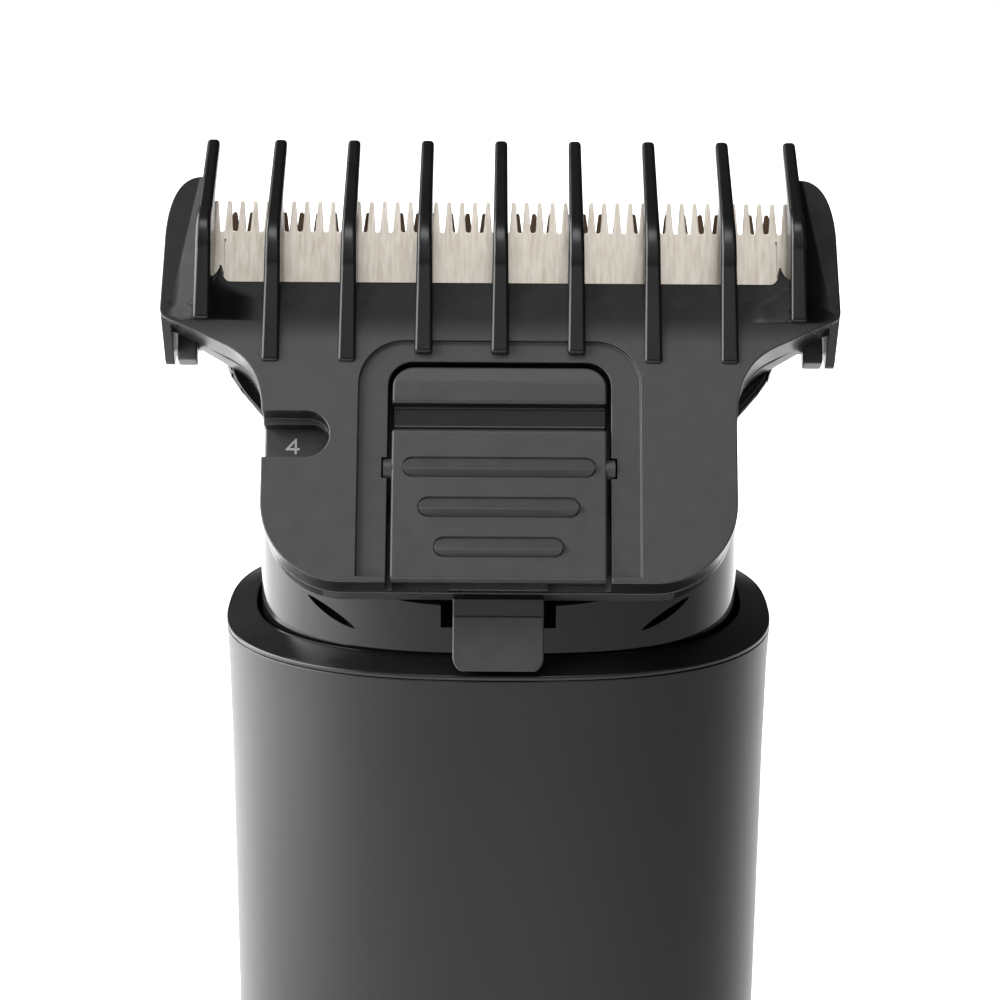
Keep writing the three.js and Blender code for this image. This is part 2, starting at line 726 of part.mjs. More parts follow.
function archShape(half, bottom, top, radius) {
  const shape = new THREE.Shape();
  shape.moveTo(-half, bottom);
  shape.lineTo(half, bottom);
  shape.lineTo(half, top - radius);
  shape.absarc(half - radius, top - radius, radius, 0, Math.PI / 2, false);
  shape.absarc(-half + radius, top - radius, radius, Math.PI / 2, Math.PI, false);
  shape.closePath();
  return shape;
}

function windowCut() {
  const radius = (WINDOW.top - WINDOW.bottom) / 2;
  const shape = new THREE.Shape();
  shape.moveTo(-COMB.stemHalf - 1, WINDOW.bottom);
  shape.absarc(-WINDOW.inner - radius, WINDOW.bottom + radius, radius, -Math.PI / 2, Math.PI / 2, false);
  shape.lineTo(-COMB.stemHalf - 1, WINDOW.top);
  shape.closePath();
  return slab(shape, -1, COMB.thick + 1, 6);
}

function tineThick(up) {
  const next = TINE_THICK.findIndex(([z]) => z > up);
  const [z0, t0] = TINE_THICK[next - 1];
  const [z1, t1] = TINE_THICK[next];
  return THREE.MathUtils.lerp(t0, t1, (up - z0) / (z1 - z0));
}

// One tine: a low fin up to a ridge over the blade, then a finger that leans back to a round tip
function tine(x, foot, lift) {
  const { ridge, crest, lean: start, tip, tipRound, under, underZ } = TINE;
  const slope = (start[1] - tip[1]) / (tip[0] - start[0]);
  const startZ = start[0] + 0.65 * lift;
  const low = COMB.cutZ - TINE.root;
  const side = new THREE.Shape();
  side.moveTo(foot, -0.6);
  side.lineTo(foot, TINE.foot);
  side.lineTo(ridge[0] + lift, ridge[1]);
  side.quadraticCurveTo(crest[0] + lift, crest[1], startZ, start[1] - slope * (startZ - start[0]));
  side.lineTo(tip[0], tip[1]);
  side.quadraticCurveTo(tip[0] + tipRound, tip[1] - slope * tipRound, tip[0], tip[1] - 0.67);
  side.lineTo(tip[0] - 0.55, tip[1] - 0.87);
  side.lineTo(underZ, under);
  side.lineTo(low, under);
  side.lineTo(low, -0.6);
  side.closePath();
  const fin = new THREE.ExtrudeGeometry(side, { depth: 1, bevelEnabled: false, curveSegments: 6 });
  fin.translate(0, 0, -0.5);
  const position = fin.attributes.position;
  for (let i = 0; i < position.count; i++) {
    const up = position.getX(i);
    const proud = position.getY(i);
    position.setXYZ(i, x + position.getZ(i) * tineThick(up), -proud, up);
  }
  return fin;
}

// The leg behind a wing's outer edge: its underside slants down from the face, then climbs again
function wingLeg(side) {
  const { inner, outer, front, back, deep, low, top } = LEG;
  const outline = [
    [front, COMB.wingCornerZ + 0.2],
    [back - 0.7, low + 0.05],
    [back, low],
    [deep, CLIP.hookLow + 0.4],
    [deep, top],
    [COMB.thick - 0.5, top],
    [front, COMB.wingCornerZ + 1],
  ];
  return side < 0 ? rib(outline, -outer, -inner) : rib(outline, inner, outer);
}

function comb() {
  const reach = COMB.wingTopZ + 1 - COMB.bendZ;
  const fall = reach * Math.tan(THREE.MathUtils.degToRad(COMB.bendAngle));
  const bend = rib(
    [
      [0, COMB.bendZ],
      [fall, COMB.bendZ + reach],
      [-1, COMB.bendZ + reach],
      [-1, COMB.bendZ],
    ],
    -30,
    30,
  );
  const plate = cut(slab(combOutline(), 0, COMB.thick), bend);
  const legs = [-1, 1].map(wingLeg);
  const tines = TINE_X.flatMap((x, i) => {
    const lift = i === TINE_X.length - 1 ? END_RIDGE_LIFT : 0;
    return (x ? [-x, x] : [x]).map((place) => tine(place, TINE_FOOT[i], lift));
  });
  const recess = slab(archShape(RECESS.half, RECESS.bottom, RECESS.top, RECESS.radius), -1, RECESS.depth);
  const opening = slab(archShape(OPENING.half, OPENING.bottom, OPENING.top, OPENING.radius), -1, COMB.thick + 1);
  const sill = box(-OPENING.half, OPENING.half, -1, COMB.thick - 0.8, -1, OPENING.bottom + 1);
  const pivots = rodX(0.95, -8.5, 8.5, LEVER.pivotY, LEVER.pivotZ);
  return cut(join(cut(plate, recess), ...legs, ...tines), opening, sill, pivots, windowCut());
}
piece(head, "comb", comb(), "comb");

// ---------------------------------------------------------------- latch lever
// A rocker on two stub pins: a stepped catch above, a ribbed pad below, and the tooth behind the pad
function latchLever() {
  const { half, bottom, top, pivotZ, pivotY, thick } = LEVER;
  const front = 0.1;
  const back = front + thick;
  const body = rib(
    [
      [back, bottom],
      [front, bottom],
      [front, 11.3],
      [front + 0.8, 11.7],
      [front + 0.8, 13.2],
      [front + 0.15, 13.5],
      [front + 0.15, 15.4],
      [front + 0.7, top],
      [back, top],
    ],
    -half,
    half,
  );
  const grips = [
    [7.0, 8.57],
    [5.85, 5.6],
    [4.7, 2.65],
  ].map(([halfX, z]) => capsuleSlab(halfX, 0.77, z, -0.35, front + 0.3));
  const tooth = box(-3.5, 3.5, back - 0.3, COMB.thick - 0.05, 1.9, 2.5);
  const pins = rodX(0.65, -8.25, 8.25, pivotY, pivotZ, 14);
  const roundTopped = common(body, slab(archShape(half, bottom - 1, top, OPENING.radius - 0.2), -1, 3));
  return join(roundTopped, pins, tooth, ...grips);
}
piece(head, "latch_lever", latchLever(), "comb");

export default clipper;
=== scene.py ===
"""A cordless hair clipper with its comb on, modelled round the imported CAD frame.

Sizes are in millimetres, as in the CAD, and each piece is scaled to metres once it is made.
The comb, its carrier, the latch and the blades are made in the comb's own frame: x across,
y back into the clipper and z up along the comb's face. Floor, lights and camera are in metres.
"""

import math

import bmesh
import bpy
from mathutils import Matrix, Vector


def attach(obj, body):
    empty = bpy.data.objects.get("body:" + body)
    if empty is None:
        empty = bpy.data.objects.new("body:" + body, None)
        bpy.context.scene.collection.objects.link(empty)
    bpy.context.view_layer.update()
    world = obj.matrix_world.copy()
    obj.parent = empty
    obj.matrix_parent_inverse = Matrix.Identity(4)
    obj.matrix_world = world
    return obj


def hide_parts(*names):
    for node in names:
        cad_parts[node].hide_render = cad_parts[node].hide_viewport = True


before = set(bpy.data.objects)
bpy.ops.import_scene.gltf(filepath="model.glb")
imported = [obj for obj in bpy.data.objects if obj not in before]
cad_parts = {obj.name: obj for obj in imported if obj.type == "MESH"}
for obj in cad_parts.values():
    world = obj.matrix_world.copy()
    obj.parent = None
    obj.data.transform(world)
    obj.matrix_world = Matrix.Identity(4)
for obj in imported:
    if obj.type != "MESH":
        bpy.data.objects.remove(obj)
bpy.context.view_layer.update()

# ------------------------------------------------------------------ sizes
MM = 0.001
GAP = 0.3
SECTION_POWER = 2.6
ROUND_STEPS = 176
# How far a cutter reaches sideways, past the whole object
BEYOND = 30

RIM_Z = 134.0
SHELL_WALL = 1.6
# Each as (height, half width, half depth)
SHELL_SECTIONS = (
    (4.0, 17.7, 15.5),
    (9.0, 18.5, 16.2),
    (30.0, 18.9, 16.6),
    (65.0, 19.6, 17.2),
    (100.0, 20.42, 17.95),
    (124.0, 20.68, 18.3),
    (131.0, 20.85, 18.35),
    (RIM_Z - 0.6, 21.0, 18.4),
)
COLLAR_A, COLLAR_B = 21.0, 18.4
COLLAR_RISE, COLLAR_REACH, COLLAR_SKIRT = 0.86, 2.2, 3.4
NECK_A, NECK_B, NECK_WALL = 18.3, 15.9, 1.8
NECK_BOTTOM, NECK_TOP, NECK_FRONT_TOP, NECK_SLOPE = 122.0, RIM_Z + 8, RIM_Z + 4.5, 6.0
NOTCH_HALF, NOTCH_BOTTOM = 4.2, RIM_Z + 2.9
HOUSING_A, HOUSING_B, HOUSING_WIDEN = 18.0, 15.6, 2.9
FLARE_LOW, FLARE_HIGH = 148.8, 154.2

BUTTON_Z, BUTTON_HALF_X, BUTTON_HALF_Z = 78.0, 5.0, 7.0
BUTTON_INNER, BUTTON_OUTER = 12.7, 18.1
LIGHT_Z, LIGHT_HALF_X, LIGHT_HALF_Z = 58.0, 3.0, 0.9
BOARD_FACE, LIGHT_FACE = 10.7, 16.95
BASE_A, BASE_B = 15.6, 13.5
PLUG_A, PLUG_B, HOLLOW_A, HOLLOW_B = 15.2, 13.0, 13.6, 11.4
SCREW_HEAD, SCREW_SUNK, SCREW_CLEAR = 1.7, 1.7, 0.95
BASE_SCREW_X, BASE_SCREW_Y = 7.0, -6.5
SOCKET_Y, SOCKET_HALF_X, SOCKET_HALF_Y = 6.0, 4.5, 1.6

LEAN = math.radians(30)
HEAD_Y, HEAD_Z = -20.2, RIM_Z + 7.63
HEAD = Matrix.Translation((0, HEAD_Y, HEAD_Z)) @ Matrix.Rotation(-LEAN, 4, "X")

STEM_HALF, WING_HALF = 17.15, 24.85
COMB_THICK = 3.2
CORNER = 6.0
WING_CORNER_Z, WING_TOP_Z = 20.0, 31.7
BEND_Z, BEND_ANGLE = 19.3, math.radians(12.5)
CUT_Z, CUT_HALF, SLOT_HALF = 22.8, 19.76, 21.7
LEG_INNER, LEG_OUTER, LEG_FRONT, LEG_BACK, LEG_DEEP = 24.1, 24.8, 0.3, 5.4, 8.0
LEG_LOW, LEG_TOP = 17.8, 24.5
CLIP_INNER, CLIP_OUTER, CLIP_FRONT, CLIP_LOW, CLIP_TOP = 22.4, LEG_INNER - 0.25, 4.0, LEG_LOW, 22.0
HOOK_BACK, HOOK_LOW = 9.0, 20.0
TINE_X = (0, 5.56, 11.12, 16.68, 21.78)
TINE_FOOT = (17.1, 17.1, 16.4, 16.4, 19.6)
# A little below the lowest foot, for the finish
TINE_LOWEST = 16.2
# The tines' side, as (height up the face, distance in front of it)
TINE_RIDGE, TINE_CREST, TINE_LEAN = (23.5, 0.5), (25.75, 1.3), (27.7, 0.05)
TINE_TIP, TIP_ROUND = (35.45, -4.98), 0.4
TINE_UNDER, TINE_UNDER_Z, TINE_ROOT = -3.1, 30.5, 1.5
END_RIDGE_LIFT = 1.4
# Each as (height up the face, thickness)
TINE_THICK = ((16.0, 1.36), (24.0, 1.17), (26.0, 1.12), (28.4, 1.01), (36.0, 0.94))

LEVER_HALF, LEVER_BOTTOM, LEVER_TOP, LEVER_THICK = 7.75, 0.3, 16.22, 1.3
PIVOT_Y, PIVOT_Z = 0.9, 8.57
GROOVE_LOW, GROOVE_HIGH = 11.3, 13.5
# Each rib of the lever, as (half width, height)
GRIPS, GRIP_HALF_Z = ((7.0, PIVOT_Z), (5.85, 5.6), (4.7, 2.65)), 0.77
OPENING_HALF, OPENING_BOTTOM, OPENING_TOP, OPENING_RADIUS = 8.06, 1.2, 16.55, 1.8
RECESS_HALF, RECESS_BOTTOM, RECESS_TOP, RECESS_RADIUS = 10.2, 0.44, 18.07, 3.3
RECESS_DEPTH, SILL_FRONT, LINTEL_FRONT = 0.35, COMB_THICK - 0.8, 1.9
WINDOW_BOTTOM, WINDOW_TOP, WINDOW_INNER = 9.24, 12.69, 12.25
CARRIER_FRONT, CARRIER_BACK = COMB_THICK + GAP, 5.6
CARRIER_TOP, ARM_TOP = 16.9, 20.1

BLADE_HALF, BLADE_BOTTOM, BLADE_ROOT, BLADE_TIP = 21.71, 20.6, 27.65, 30.1
BLADE_THICK, BLADE_CORNER, TEETH, MOVING_TEETH = 0.5, 1.4, 45, 33
FOOT_HALF, FOOT_BOTTOM = 15, 17.4
BLADE_FRONT = COMB_THICK + GAP
MOVING_FRONT = BLADE_FRONT + BLADE_THICK + GAP
CARRIAGE_BACK = MOVING_FRONT + BLADE_THICK + 2.6
HOUSING_FRONT, HOUSING_WALL = CARRIER_BACK + GAP, 1.1
HOUSING_LEDGE = MOVING_FRONT + BLADE_THICK + 0.4
SCREW_X, SCREW_Z = 12.5, 18.9

TAB_HALF, TAB_BOTTOM, TAB_FOLD, TAB_TOP = 3.3, RIM_Z + 0.45, RIM_Z + 4.2, RIM_Z + 5.6
NUMBER_X, LAST_NUMBER_X, NUMBER_Z, SETTING_STEP = -15.1, -16.4, 11.0, 2.0
# Each setting's number, as the line that a pen would draw
DIGITS = {
    4: [(0.22, -0.5), (0.22, 0.5), (-0.42, -0.22), (0.42, -0.22)],
    5: [(0.35, 0.5), (-0.3, 0.5), (-0.34, 0.06), (0.12, 0.1), (0.36, -0.14), (0.2, -0.46), (-0.36, -0.48)],
    6: [(0.24, 0.5), (-0.3, -0.02), (-0.36, -0.28), (0, -0.5), (0.36, -0.25), (0.08, 0.04), (-0.24, -0.04)],
    7: [(-0.36, 0.5), (0.36, 0.5), (-0.1, -0.5)],
}


# ------------------------------------------------------------------ mesh helpers
def new_object(name, verts, faces):
    mesh = bpy.data.meshes.new(name)
    mesh.from_pydata([tuple(v) for v in verts], [], faces)
    mesh.update()
    made = bpy.data.objects.new(name, mesh)
    bpy.context.scene.collection.objects.link(made)
    work = bmesh.new()
    work.from_mesh(mesh)
    bmesh.ops.recalc_face_normals(work, faces=work.faces)
    work.to_mesh(mesh)
    work.free()
    return made


def curve_points(*controls, steps=10):
    """Points along the Bezier curve of three or four control points, without its first point."""
    points = []
    for i in range(1, steps + 1):
        level = [Vector(c) for c in controls]
        while len(level) > 1:
            level = [a.lerp(b, i / steps) for a, b in zip(level, level[1:])]
        points.append(tuple(level[0]))
    return points


def arc_points(cx, cz, radius, start, end, steps=12):
    """Points on an arc, its ends included; the angles are in degrees."""
    angles = [math.radians(start + (end - start) * i / steps) for i in range(steps + 1)]
    return [(cx + radius * math.cos(t), cz + radius * math.sin(t)) for t in angles]


def quarter_round(steps):
    """Places on a quarter circle, as (share inwards, share upwards), both from nought to one."""
    turns = [math.radians(90 * i / steps) for i in range(steps + 1)]
    return [(1 - math.cos(t), math.sin(t)) for t in turns]


def prism(name, points, low, high, axis="Y"):
    """An outline pushed along an axis: in (y, z) for X, in (x, z) for Y and in (x, y) for Z."""
    count = len(points)
    verts = []
    for depth in (low, high):
        for a, b in points:
            verts.append({"X": (depth, a, b), "Y": (a, depth, b), "Z": (a, b, depth)}[axis])
    faces = [tuple(range(count)), tuple(range(2 * count - 1, count - 1, -1))]
    for i in range(count):
        j = (i + 1) % count
        faces.append((i, j, count + j, count + i))
    return new_object(name, verts, faces)


def box(name, x0, x1, y0, y1, z0, z1):
    return prism(name, [(x0, z0), (x1, z0), (x1, z1), (x0, z1)], y0, y1)


def rod(name, radius, low, high, at, axis="Z", steps=32):
    """A round rod along an axis, centred on the two other coordinates."""
    ring = [2 * math.pi * i / steps for i in range(steps)]
    circle = [(at[0] + radius * math.cos(t), at[1] + radius * math.sin(t)) for t in ring]
    return prism(name, circle, low, high, axis)


def superellipse(z, a, b):
    """The ring of a section at a height: a rounded oval with half width a and half depth b."""
    power = 2 / SECTION_POWER
    ring = []
    for i in range(ROUND_STEPS):
        t = 2 * math.pi * i / ROUND_STEPS
        x = math.copysign(abs(math.cos(t)) ** power, math.cos(t))
        y = math.copysign(abs(math.sin(t)) ** power, math.sin(t))
        ring.append((a * x, b * y, z))
    return ring


def loft(name, rings, closed=False):
    """A skin over a list of rings. A closed loft joins its last ring to its first and is a tube."""
    steps = len(rings[0])
    verts = [p for ring in rings for p in ring]
    faces = []
    spans = len(rings) if closed else len(rings) - 1
    for r in range(spans):
        low = r * steps
        high = (r + 1) % len(rings) * steps
        for i in range(steps):
            j = (i + 1) % steps
            faces.append((low + i, low + j, high + j, high + i))
    if not closed:
        faces.append(tuple(range(steps)))
        faces.append(tuple(range(len(verts) - 1, len(verts) - steps - 1, -1)))
    return new_object(name, verts, faces)


def section_loft(name, sections, closed=False):
    """A loft through sections, each (height, half width, half depth)."""
    return loft(name, [superellipse(*section) for section in sections], closed)


def refined(sections, step=2.0):
    """The same straight sides with a ring every few millimetres."""
    rows = [sections[0]]
    for low, high in zip(sections, sections[1:]):
        parts = max(1, round(abs(high[0] - low[0]) / step))
        for i in range(1, parts + 1):
            share = i / parts
            rows.append(tuple(a + (b - a) * share for a, b in zip(low, high)))
    return rows


def bake(made):
    """Applies every modifier to the object's own mesh."""
    graph = bpy.context.evaluated_depsgraph_get()
    graph.update()
    mesh = bpy.data.meshes.new_from_object(made.evaluated_get(graph))
    old = made.data
    made.modifiers.clear()
    made.data = mesh
    bpy.data.meshes.remove(old)
    return made


def combine(made, operation, others):
    """Cuts, joins or keeps what is common, one object after another, and removes those objects."""
    for other in others:
        step = made.modifiers.new(operation.lower(), "BOOLEAN")
        step.operation = operation
        step.object = other
        step.solver = "EXACT"
        bake(made)
        mesh = other.data
        bpy.data.objects.remove(other)
        bpy.data.meshes.remove(mesh)
    return made


def cut(made, *others):
    """Takes the others away from a piece."""
    return combine(made, "DIFFERENCE", others)


def join(made, *others):
    """Adds the others to a piece."""
    return combine(made, "UNION", others)


def common(made, other):
    """Keeps only what a piece shares with the other."""
    return combine(made, "INTERSECT", [other])


def soften(made, width, angle=35, segments=3):
    """Rounds every edge sharper than an angle in degrees."""
    step = made.modifiers.new("soften", "BEVEL")
    step.width = width
    step.segments = segments
    step.limit_method = "ANGLE"
    step.angle_limit = math.radians(angle)
    step.use_clamp_overlap = False
    step.miter_outer = "MITER_ARC"
    return bake(made)


def tidy(made, join_within=0.004):
    """Merges the tiny edges that the cuts leave."""
    work = bmesh.new()
    work.from_mesh(made.data)
    bmesh.ops.remove_doubles(work, verts=work.verts, dist=join_within)
    bmesh.ops.dissolve_degenerate(work, dist=join_within / 2, edges=work.edges)
    work.to_mesh(made.data)
    work.free()
    return made


def place(made, body, look, nodes, in_head=False, sharp=38):
    """Scales a piece to metres, shades it, gives it its material and ties it to the frame."""
    matrix = Matrix.Scale(MM, 4)
    if in_head:
        matrix = matrix @ HEAD
    made.data.transform(matrix)
    made.data.shade_smooth()
    made.data.set_sharp_from_angle(angle=math.radians(sharp))
    normals = made.modifiers.new("normals", "WEIGHTED_NORMAL")
    normals.keep_sharp = True
    looks = look if isinstance(look, (list, tuple)) else [look]
    for each in looks:
        made.data.materials.append(each)
    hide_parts(*nodes)
    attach(made, body)
    return made


def paint(made, number, test):
    """Gives the faces whose centre and normal pass a test another of the piece's materials."""
    for face in made.data.polygons:
        if test(face.center, face.normal):
            face.material_index = number


# ------------------------------------------------------------------ materials
def new_material(name):
    """A material with its node tree and its Principled shader."""
    made = bpy.data.materials.new(name)
    made.use_nodes = True
    tree = made.node_tree
    return made, tree, tree.nodes["Principled BSDF"]


def object_coordinates(tree, scale=(1, 1, 1)):
    source = tree.nodes.new("ShaderNodeTexCoord")
    mapping = tree.nodes.new("ShaderNodeMapping")
    mapping.inputs["Scale"].default_value = scale
    tree.links.new(source.outputs["Object"], mapping.inputs["Vector"])
    return mapping.outputs["Vector"]


def noise(tree, vector, scale, detail=3.0, rough=0.6):
    node = tree.nodes.new("ShaderNodeTexNoise")
    node.inputs["Scale"].default_value = scale
    node.inputs["Detail"].default_value = detail
    node.inputs["Roughness"].default_value = rough
    tree.links.new(vector, node.inputs["Vector"])
    return node.outputs["Fac"]


def spread(tree, value, low, high, from_low=0.3, from_high=0.7):
    """A value moved from one range, by default a noise's usual one, to another."""
    node = tree.nodes.new("ShaderNodeMapRange")
    node.inputs["From Min"].default_value = from_low
    node.inputs["From Max"].default_value = from_high
    node.inputs["To Min"].default_value = low
    node.inputs["To Max"].default_value = high
    tree.links.new(value, node.inputs["Value"])
    return node.outputs["Result"]


def shades(tree, value, dark, light):
    """A colour between two, as a noise's value goes through its usual range."""
    ramp = tree.nodes.new("ShaderNodeValToRGB")
    ramp.color_ramp.elements[0].position = 0.3
    ramp.color_ramp.elements[0].color = (*dark, 1)
    ramp.color_ramp.elements[1].position = 0.7
    ramp.color_ramp.elements[1].color = (*light, 1)
    tree.links.new(value, ramp.inputs["Fac"])
    return ramp.outputs["Color"]


def bump(tree, height, distance):
    """A normal roughened by a height; the distance is in metres."""
    node = tree.nodes.new("ShaderNodeBump")
    node.inputs["Strength"].default_value = 1.0
    node.inputs["Distance"].default_value = distance
    tree.links.new(height, node.inputs["Height"])
    return node.outputs["Normal"]


def grained(name, dark, light, rough, grain, depth, metallic=0.0, specular=0.5,
            stretch=(1, 1, 1), coat=0.0, coat_rough=0.05, patches=60.0):
    """A surface with a fine grain in its bump, and a broader drift in its colour and roughness."""
    made, tree, shader = new_material(name)
    vector = object_coordinates(tree, stretch)
    fine = noise(tree, vector, grain, 2.0)
    broad = noise(tree, vector, patches, 3.0)
    tree.links.new(shades(tree, broad, dark, light), shader.inputs["Base Color"])
    tree.links.new(spread(tree, broad, rough[0], rough[1]), shader.inputs["Roughness"])
    tree.links.new(bump(tree, fine, depth), shader.inputs["Normal"])
    shader.inputs["Metallic"].default_value = metallic
    shader.inputs["Specular IOR Level"].default_value = specular
    shader.inputs["Coat Weight"].default_value = coat
    shader.inputs["Coat Roughness"].default_value = coat_rough
    return made


def grey(value):
    return (value, value, value)


SHELL = grained("satin_shell", (0.0095, 0.0095, 0.010), (0.0120, 0.0120, 0.0125), (0.33, 0.36),
                5200, 0.000003, specular=0.42, patches=45)
GLOSS = grained("piano_gloss", grey(0.004), grey(0.005), (0.05, 0.09), 900, 0.0000005,
                specular=0.38, coat=0.05, coat_rough=0.03, patches=110)
COLLAR = grained("satin_gloss", grey(0.006), grey(0.008), (0.26, 0.32), 2600, 0.000001, patches=110)
# Smooth black plastic for the tines and walls, also laid on the tab's strap and the lever's groove as
# painted shade
SMOOTH_AND_SHADE = grained("smooth_plastic_and_painted_shade", grey(0.006), grey(0.008), (0.26, 0.31), 5200, 0.000002,
                 specular=0.42, patches=260)
CARRIER = grained("carrier_plastic", grey(0.034), grey(0.042), (0.46, 0.56), 8000, 0.00001,
                  patches=700)
FRAME = grained("frame_plastic", grey(0.10), grey(0.12), (0.5, 0.6), 2600, 0.00001, patches=150)
BLADE = grained("champagne_steel", (0.62, 0.555, 0.47), (0.78, 0.725, 0.65), (0.28, 0.42), 2400,
                0.0000025, metallic=1.0, stretch=(4, 1, 0.04), patches=900)
# The moving blade's dark brown is painted shade, for the shadow it lies in behind the fixed teeth
MOVING = grained("painted_shade_steel", (0.055, 0.036, 0.024), (0.10, 0.066, 0.045), (0.35, 0.5), 2400,
                 0.0000025, metallic=1.0, stretch=(3, 1, 0.1), patches=700)
STEEL = grained("plain_steel", (0.50, 0.49, 0.47), (0.62, 0.61, 0.59), (0.22, 0.34), 1500,
                0.000003, metallic=1.0, patches=300)
BRASS = grained("contact_brass", (0.60, 0.42, 0.16), (0.72, 0.52, 0.22), (0.25, 0.4), 1500,
                0.000003, metallic=1.0, patches=300)
BOARD = grained("board_laminate", (0.012, 0.085, 0.035), (0.018, 0.12, 0.05), (0.35, 0.5), 1800,
                0.000005, patches=500)
WRAP = grained("cell_wrap", (0.03, 0.12, 0.28), (0.04, 0.15, 0.33), (0.3, 0.42), 700, 0.000006,
               patches=200)
RUBBER = grained("seal_rubber", grey(0.010), grey(0.016), (0.7, 0.85), 2400, 0.00001, patches=400)
NUMBERS = grained("number_paint", grey(0.42), grey(0.50), (0.5, 0.6), 3000, 0.000004, patches=900)


def along(tree, vector, direction, start, low, high):
    """Nought to one as a place moves from low to high (in mm) along a direction of the comb's frame."""
    dot = tree.nodes.new("ShaderNodeVectorMath")
    dot.operation = "DOT_PRODUCT"
    tree.links.new(vector, dot.inputs[0])
    dot.inputs[1].default_value = direction
    soft = tree.nodes.new("ShaderNodeMapRange")
    soft.interpolation_type = "SMOOTHSTEP"
    soft.inputs["From Min"].default_value = (low + start) * MM
    soft.inputs["From Max"].default_value = (high + start) * MM
    tree.links.new(dot.outputs["Value"], soft.inputs["Value"])
    return soft.outputs["Result"]


def comb_material():
    """A fine grain all over, and above the plate, on strip and wings, a painted shade: a much darker colour
    and a weaker specular.
    """
    made, tree, shader = new_material("comb_plastic")
    vector = object_coordinates(tree)
    fine = noise(tree, vector, 8000, 2.0)
    broad = noise(tree, vector, 700, 3.0)
    up = Vector((0, math.sin(LEAN), math.cos(LEAN)))
    plate_end, wings_start = 17.6, 20.0
    # Painted shade: this mask is nought on the plate and one on strip and wings, where colour and specular
    # are darkened
    wings = along(tree, vector, up, Vector((0, HEAD_Y, HEAD_Z)).dot(up), plate_end, wings_start)
    mix = tree.nodes.new("ShaderNodeMix")
    mix.data_type = "RGBA"
    # The node has sockets of one name for each kind of data, so the colour ones go by number
    colour_a, colour_b, colour_out = mix.inputs[6], mix.inputs[7], mix.outputs[2]
    tree.links.new(wings, mix.inputs["Factor"])
    tree.links.new(shades(tree, broad, grey(0.036), grey(0.044)), colour_a)
    # The near-black colour is painted shade on strip and wings
    tree.links.new(shades(tree, broad, grey(0.006), grey(0.008)), colour_b)
    tree.links.new(colour_out, shader.inputs["Base Color"])
    tree.links.new(spread(tree, broad, 0.46, 0.56), shader.inputs["Roughness"])
    tree.links.new(spread(tree, wings, 0.5, 0.22, 0, 1), shader.inputs["Specular IOR Level"])
    tree.links.new(bump(tree, fine, 0.00001), shader.inputs["Normal"])
    return made


def lens_material():
    made, tree, shader = new_material("indicator_lens")
    drift = noise(tree, object_coordinates(tree), 900, 3.0)
    milky = shades(tree, drift, (0.62, 0.66, 0.70), (0.74, 0.77, 0.80))
    tree.links.new(milky, shader.inputs["Base Color"])
    tree.links.new(spread(tree, drift, 0.16, 0.26), shader.inputs["Roughness"])
    shader.inputs["Transmission Weight"].default_value = 0.35
    shader.inputs["IOR"].default_value = 1.49
    return made


COMB = comb_material()
LENS = lens_material()


# ------------------------------------------------------------------ body
def ellipse_rings(rows, cz, steps=96):
    """Rings of an ellipse in (x, z), one for each (y, half x, half z)."""
    rings = []
    for y, half_x, half_z in rows:
        angles = [2 * math.pi * i / steps for i in range(steps)]
        rings.append([(half_x * math.cos(t), y, cz + half_z * math.sin(t)) for t in angles])
    return rings


def capsule(half_x, half_z, cz):
    """A bar with round ends."""
    straight = half_x - half_z
    points = arc_points(straight, cz, half_z, -90, 90)
    return points + arc_points(-straight, cz, half_z, 90, 270)


def body_shell():
    """The tapered tube, with a small round at its rim and the holes for button and light."""
    edge = 0.1
    top = RIM_Z - GAP - 0.05
    outer = refined(SHELL_SECTIONS[:-1] + ((top - edge, COLLAR_A, COLLAR_B),))
    for inwards, upwards in quarter_round(4)[1:]:
        inset = edge * inwards
        outer.append((top - edge * (1 - upwards), COLLAR_A - inset, COLLAR_B - inset))
    inner = [(z, a - SHELL_WALL, b - SHELL_WALL) for z, a, b in refined(SHELL_SECTIONS, 12)]
    shell = section_loft("body_shell", outer + inner[::-1], closed=True)
    inside, outside, slit, flare = 10, 24, 0.35, 6.6
    rows = [(inside, slit), (BUTTON_OUTER - 0.75, slit), (outside, flare)]
    hole = ellipse_rings([(y, BUTTON_HALF_X + g, BUTTON_HALF_Z + g) for y, g in rows], BUTTON_Z)
    light_outline = capsule(LIGHT_HALF_X + GAP, LIGHT_HALF_Z + GAP, LIGHT_Z)
    light = prism("light_hole", light_outline, inside, outside)
    cut(shell, loft("button_hole", hole), light)
    place(tidy(shell), "body", SHELL, ["body_shell"], sharp=30)


def collar_ring():
    """A gloss ring that slopes up from the shell's rim to the neck, its outer edge a little round."""
    low, chamfer = RIM_Z - GAP, 0.04
    round_start, round_up, round_in = RIM_Z - 0.06, 0.14, 0.2
    rows = [(low, chamfer), (low + chamfer, 0.0), (round_start, 0.0)]
    for inwards, upwards in quarter_round(6)[1:]:
        rows.append((round_start + round_up * upwards, round_in * inwards))
    rows.append((RIM_Z + COLLAR_RISE - 0.04, COLLAR_REACH - 0.1))
    rows.append((RIM_Z + COLLAR_RISE, COLLAR_REACH + 0.1))
    outer = [(z, COLLAR_A - inset, COLLAR_B - inset) for z, inset in rows]
    bore_a, bore_b = NECK_A + 0.35, NECK_B + 0.35
    skirt, edge = 0.4, 0.15
    inner = [
        (RIM_Z + COLLAR_RISE - 0.02, bore_a + edge, bore_b + edge),
        (RIM_Z + COLLAR_RISE - edge, bore_a, bore_b),
        (low - COLLAR_SKIRT, bore_a, bore_b),
        (low - COLLAR_SKIRT, bore_a + skirt, bore_b + skirt),
        (low, bore_a + skirt, bore_b + skirt),
    ]
    ring = section_loft("collar_ring", outer + inner, closed=True)
    place(ring, "body", COLLAR, ["collar_ring"], sharp=50)


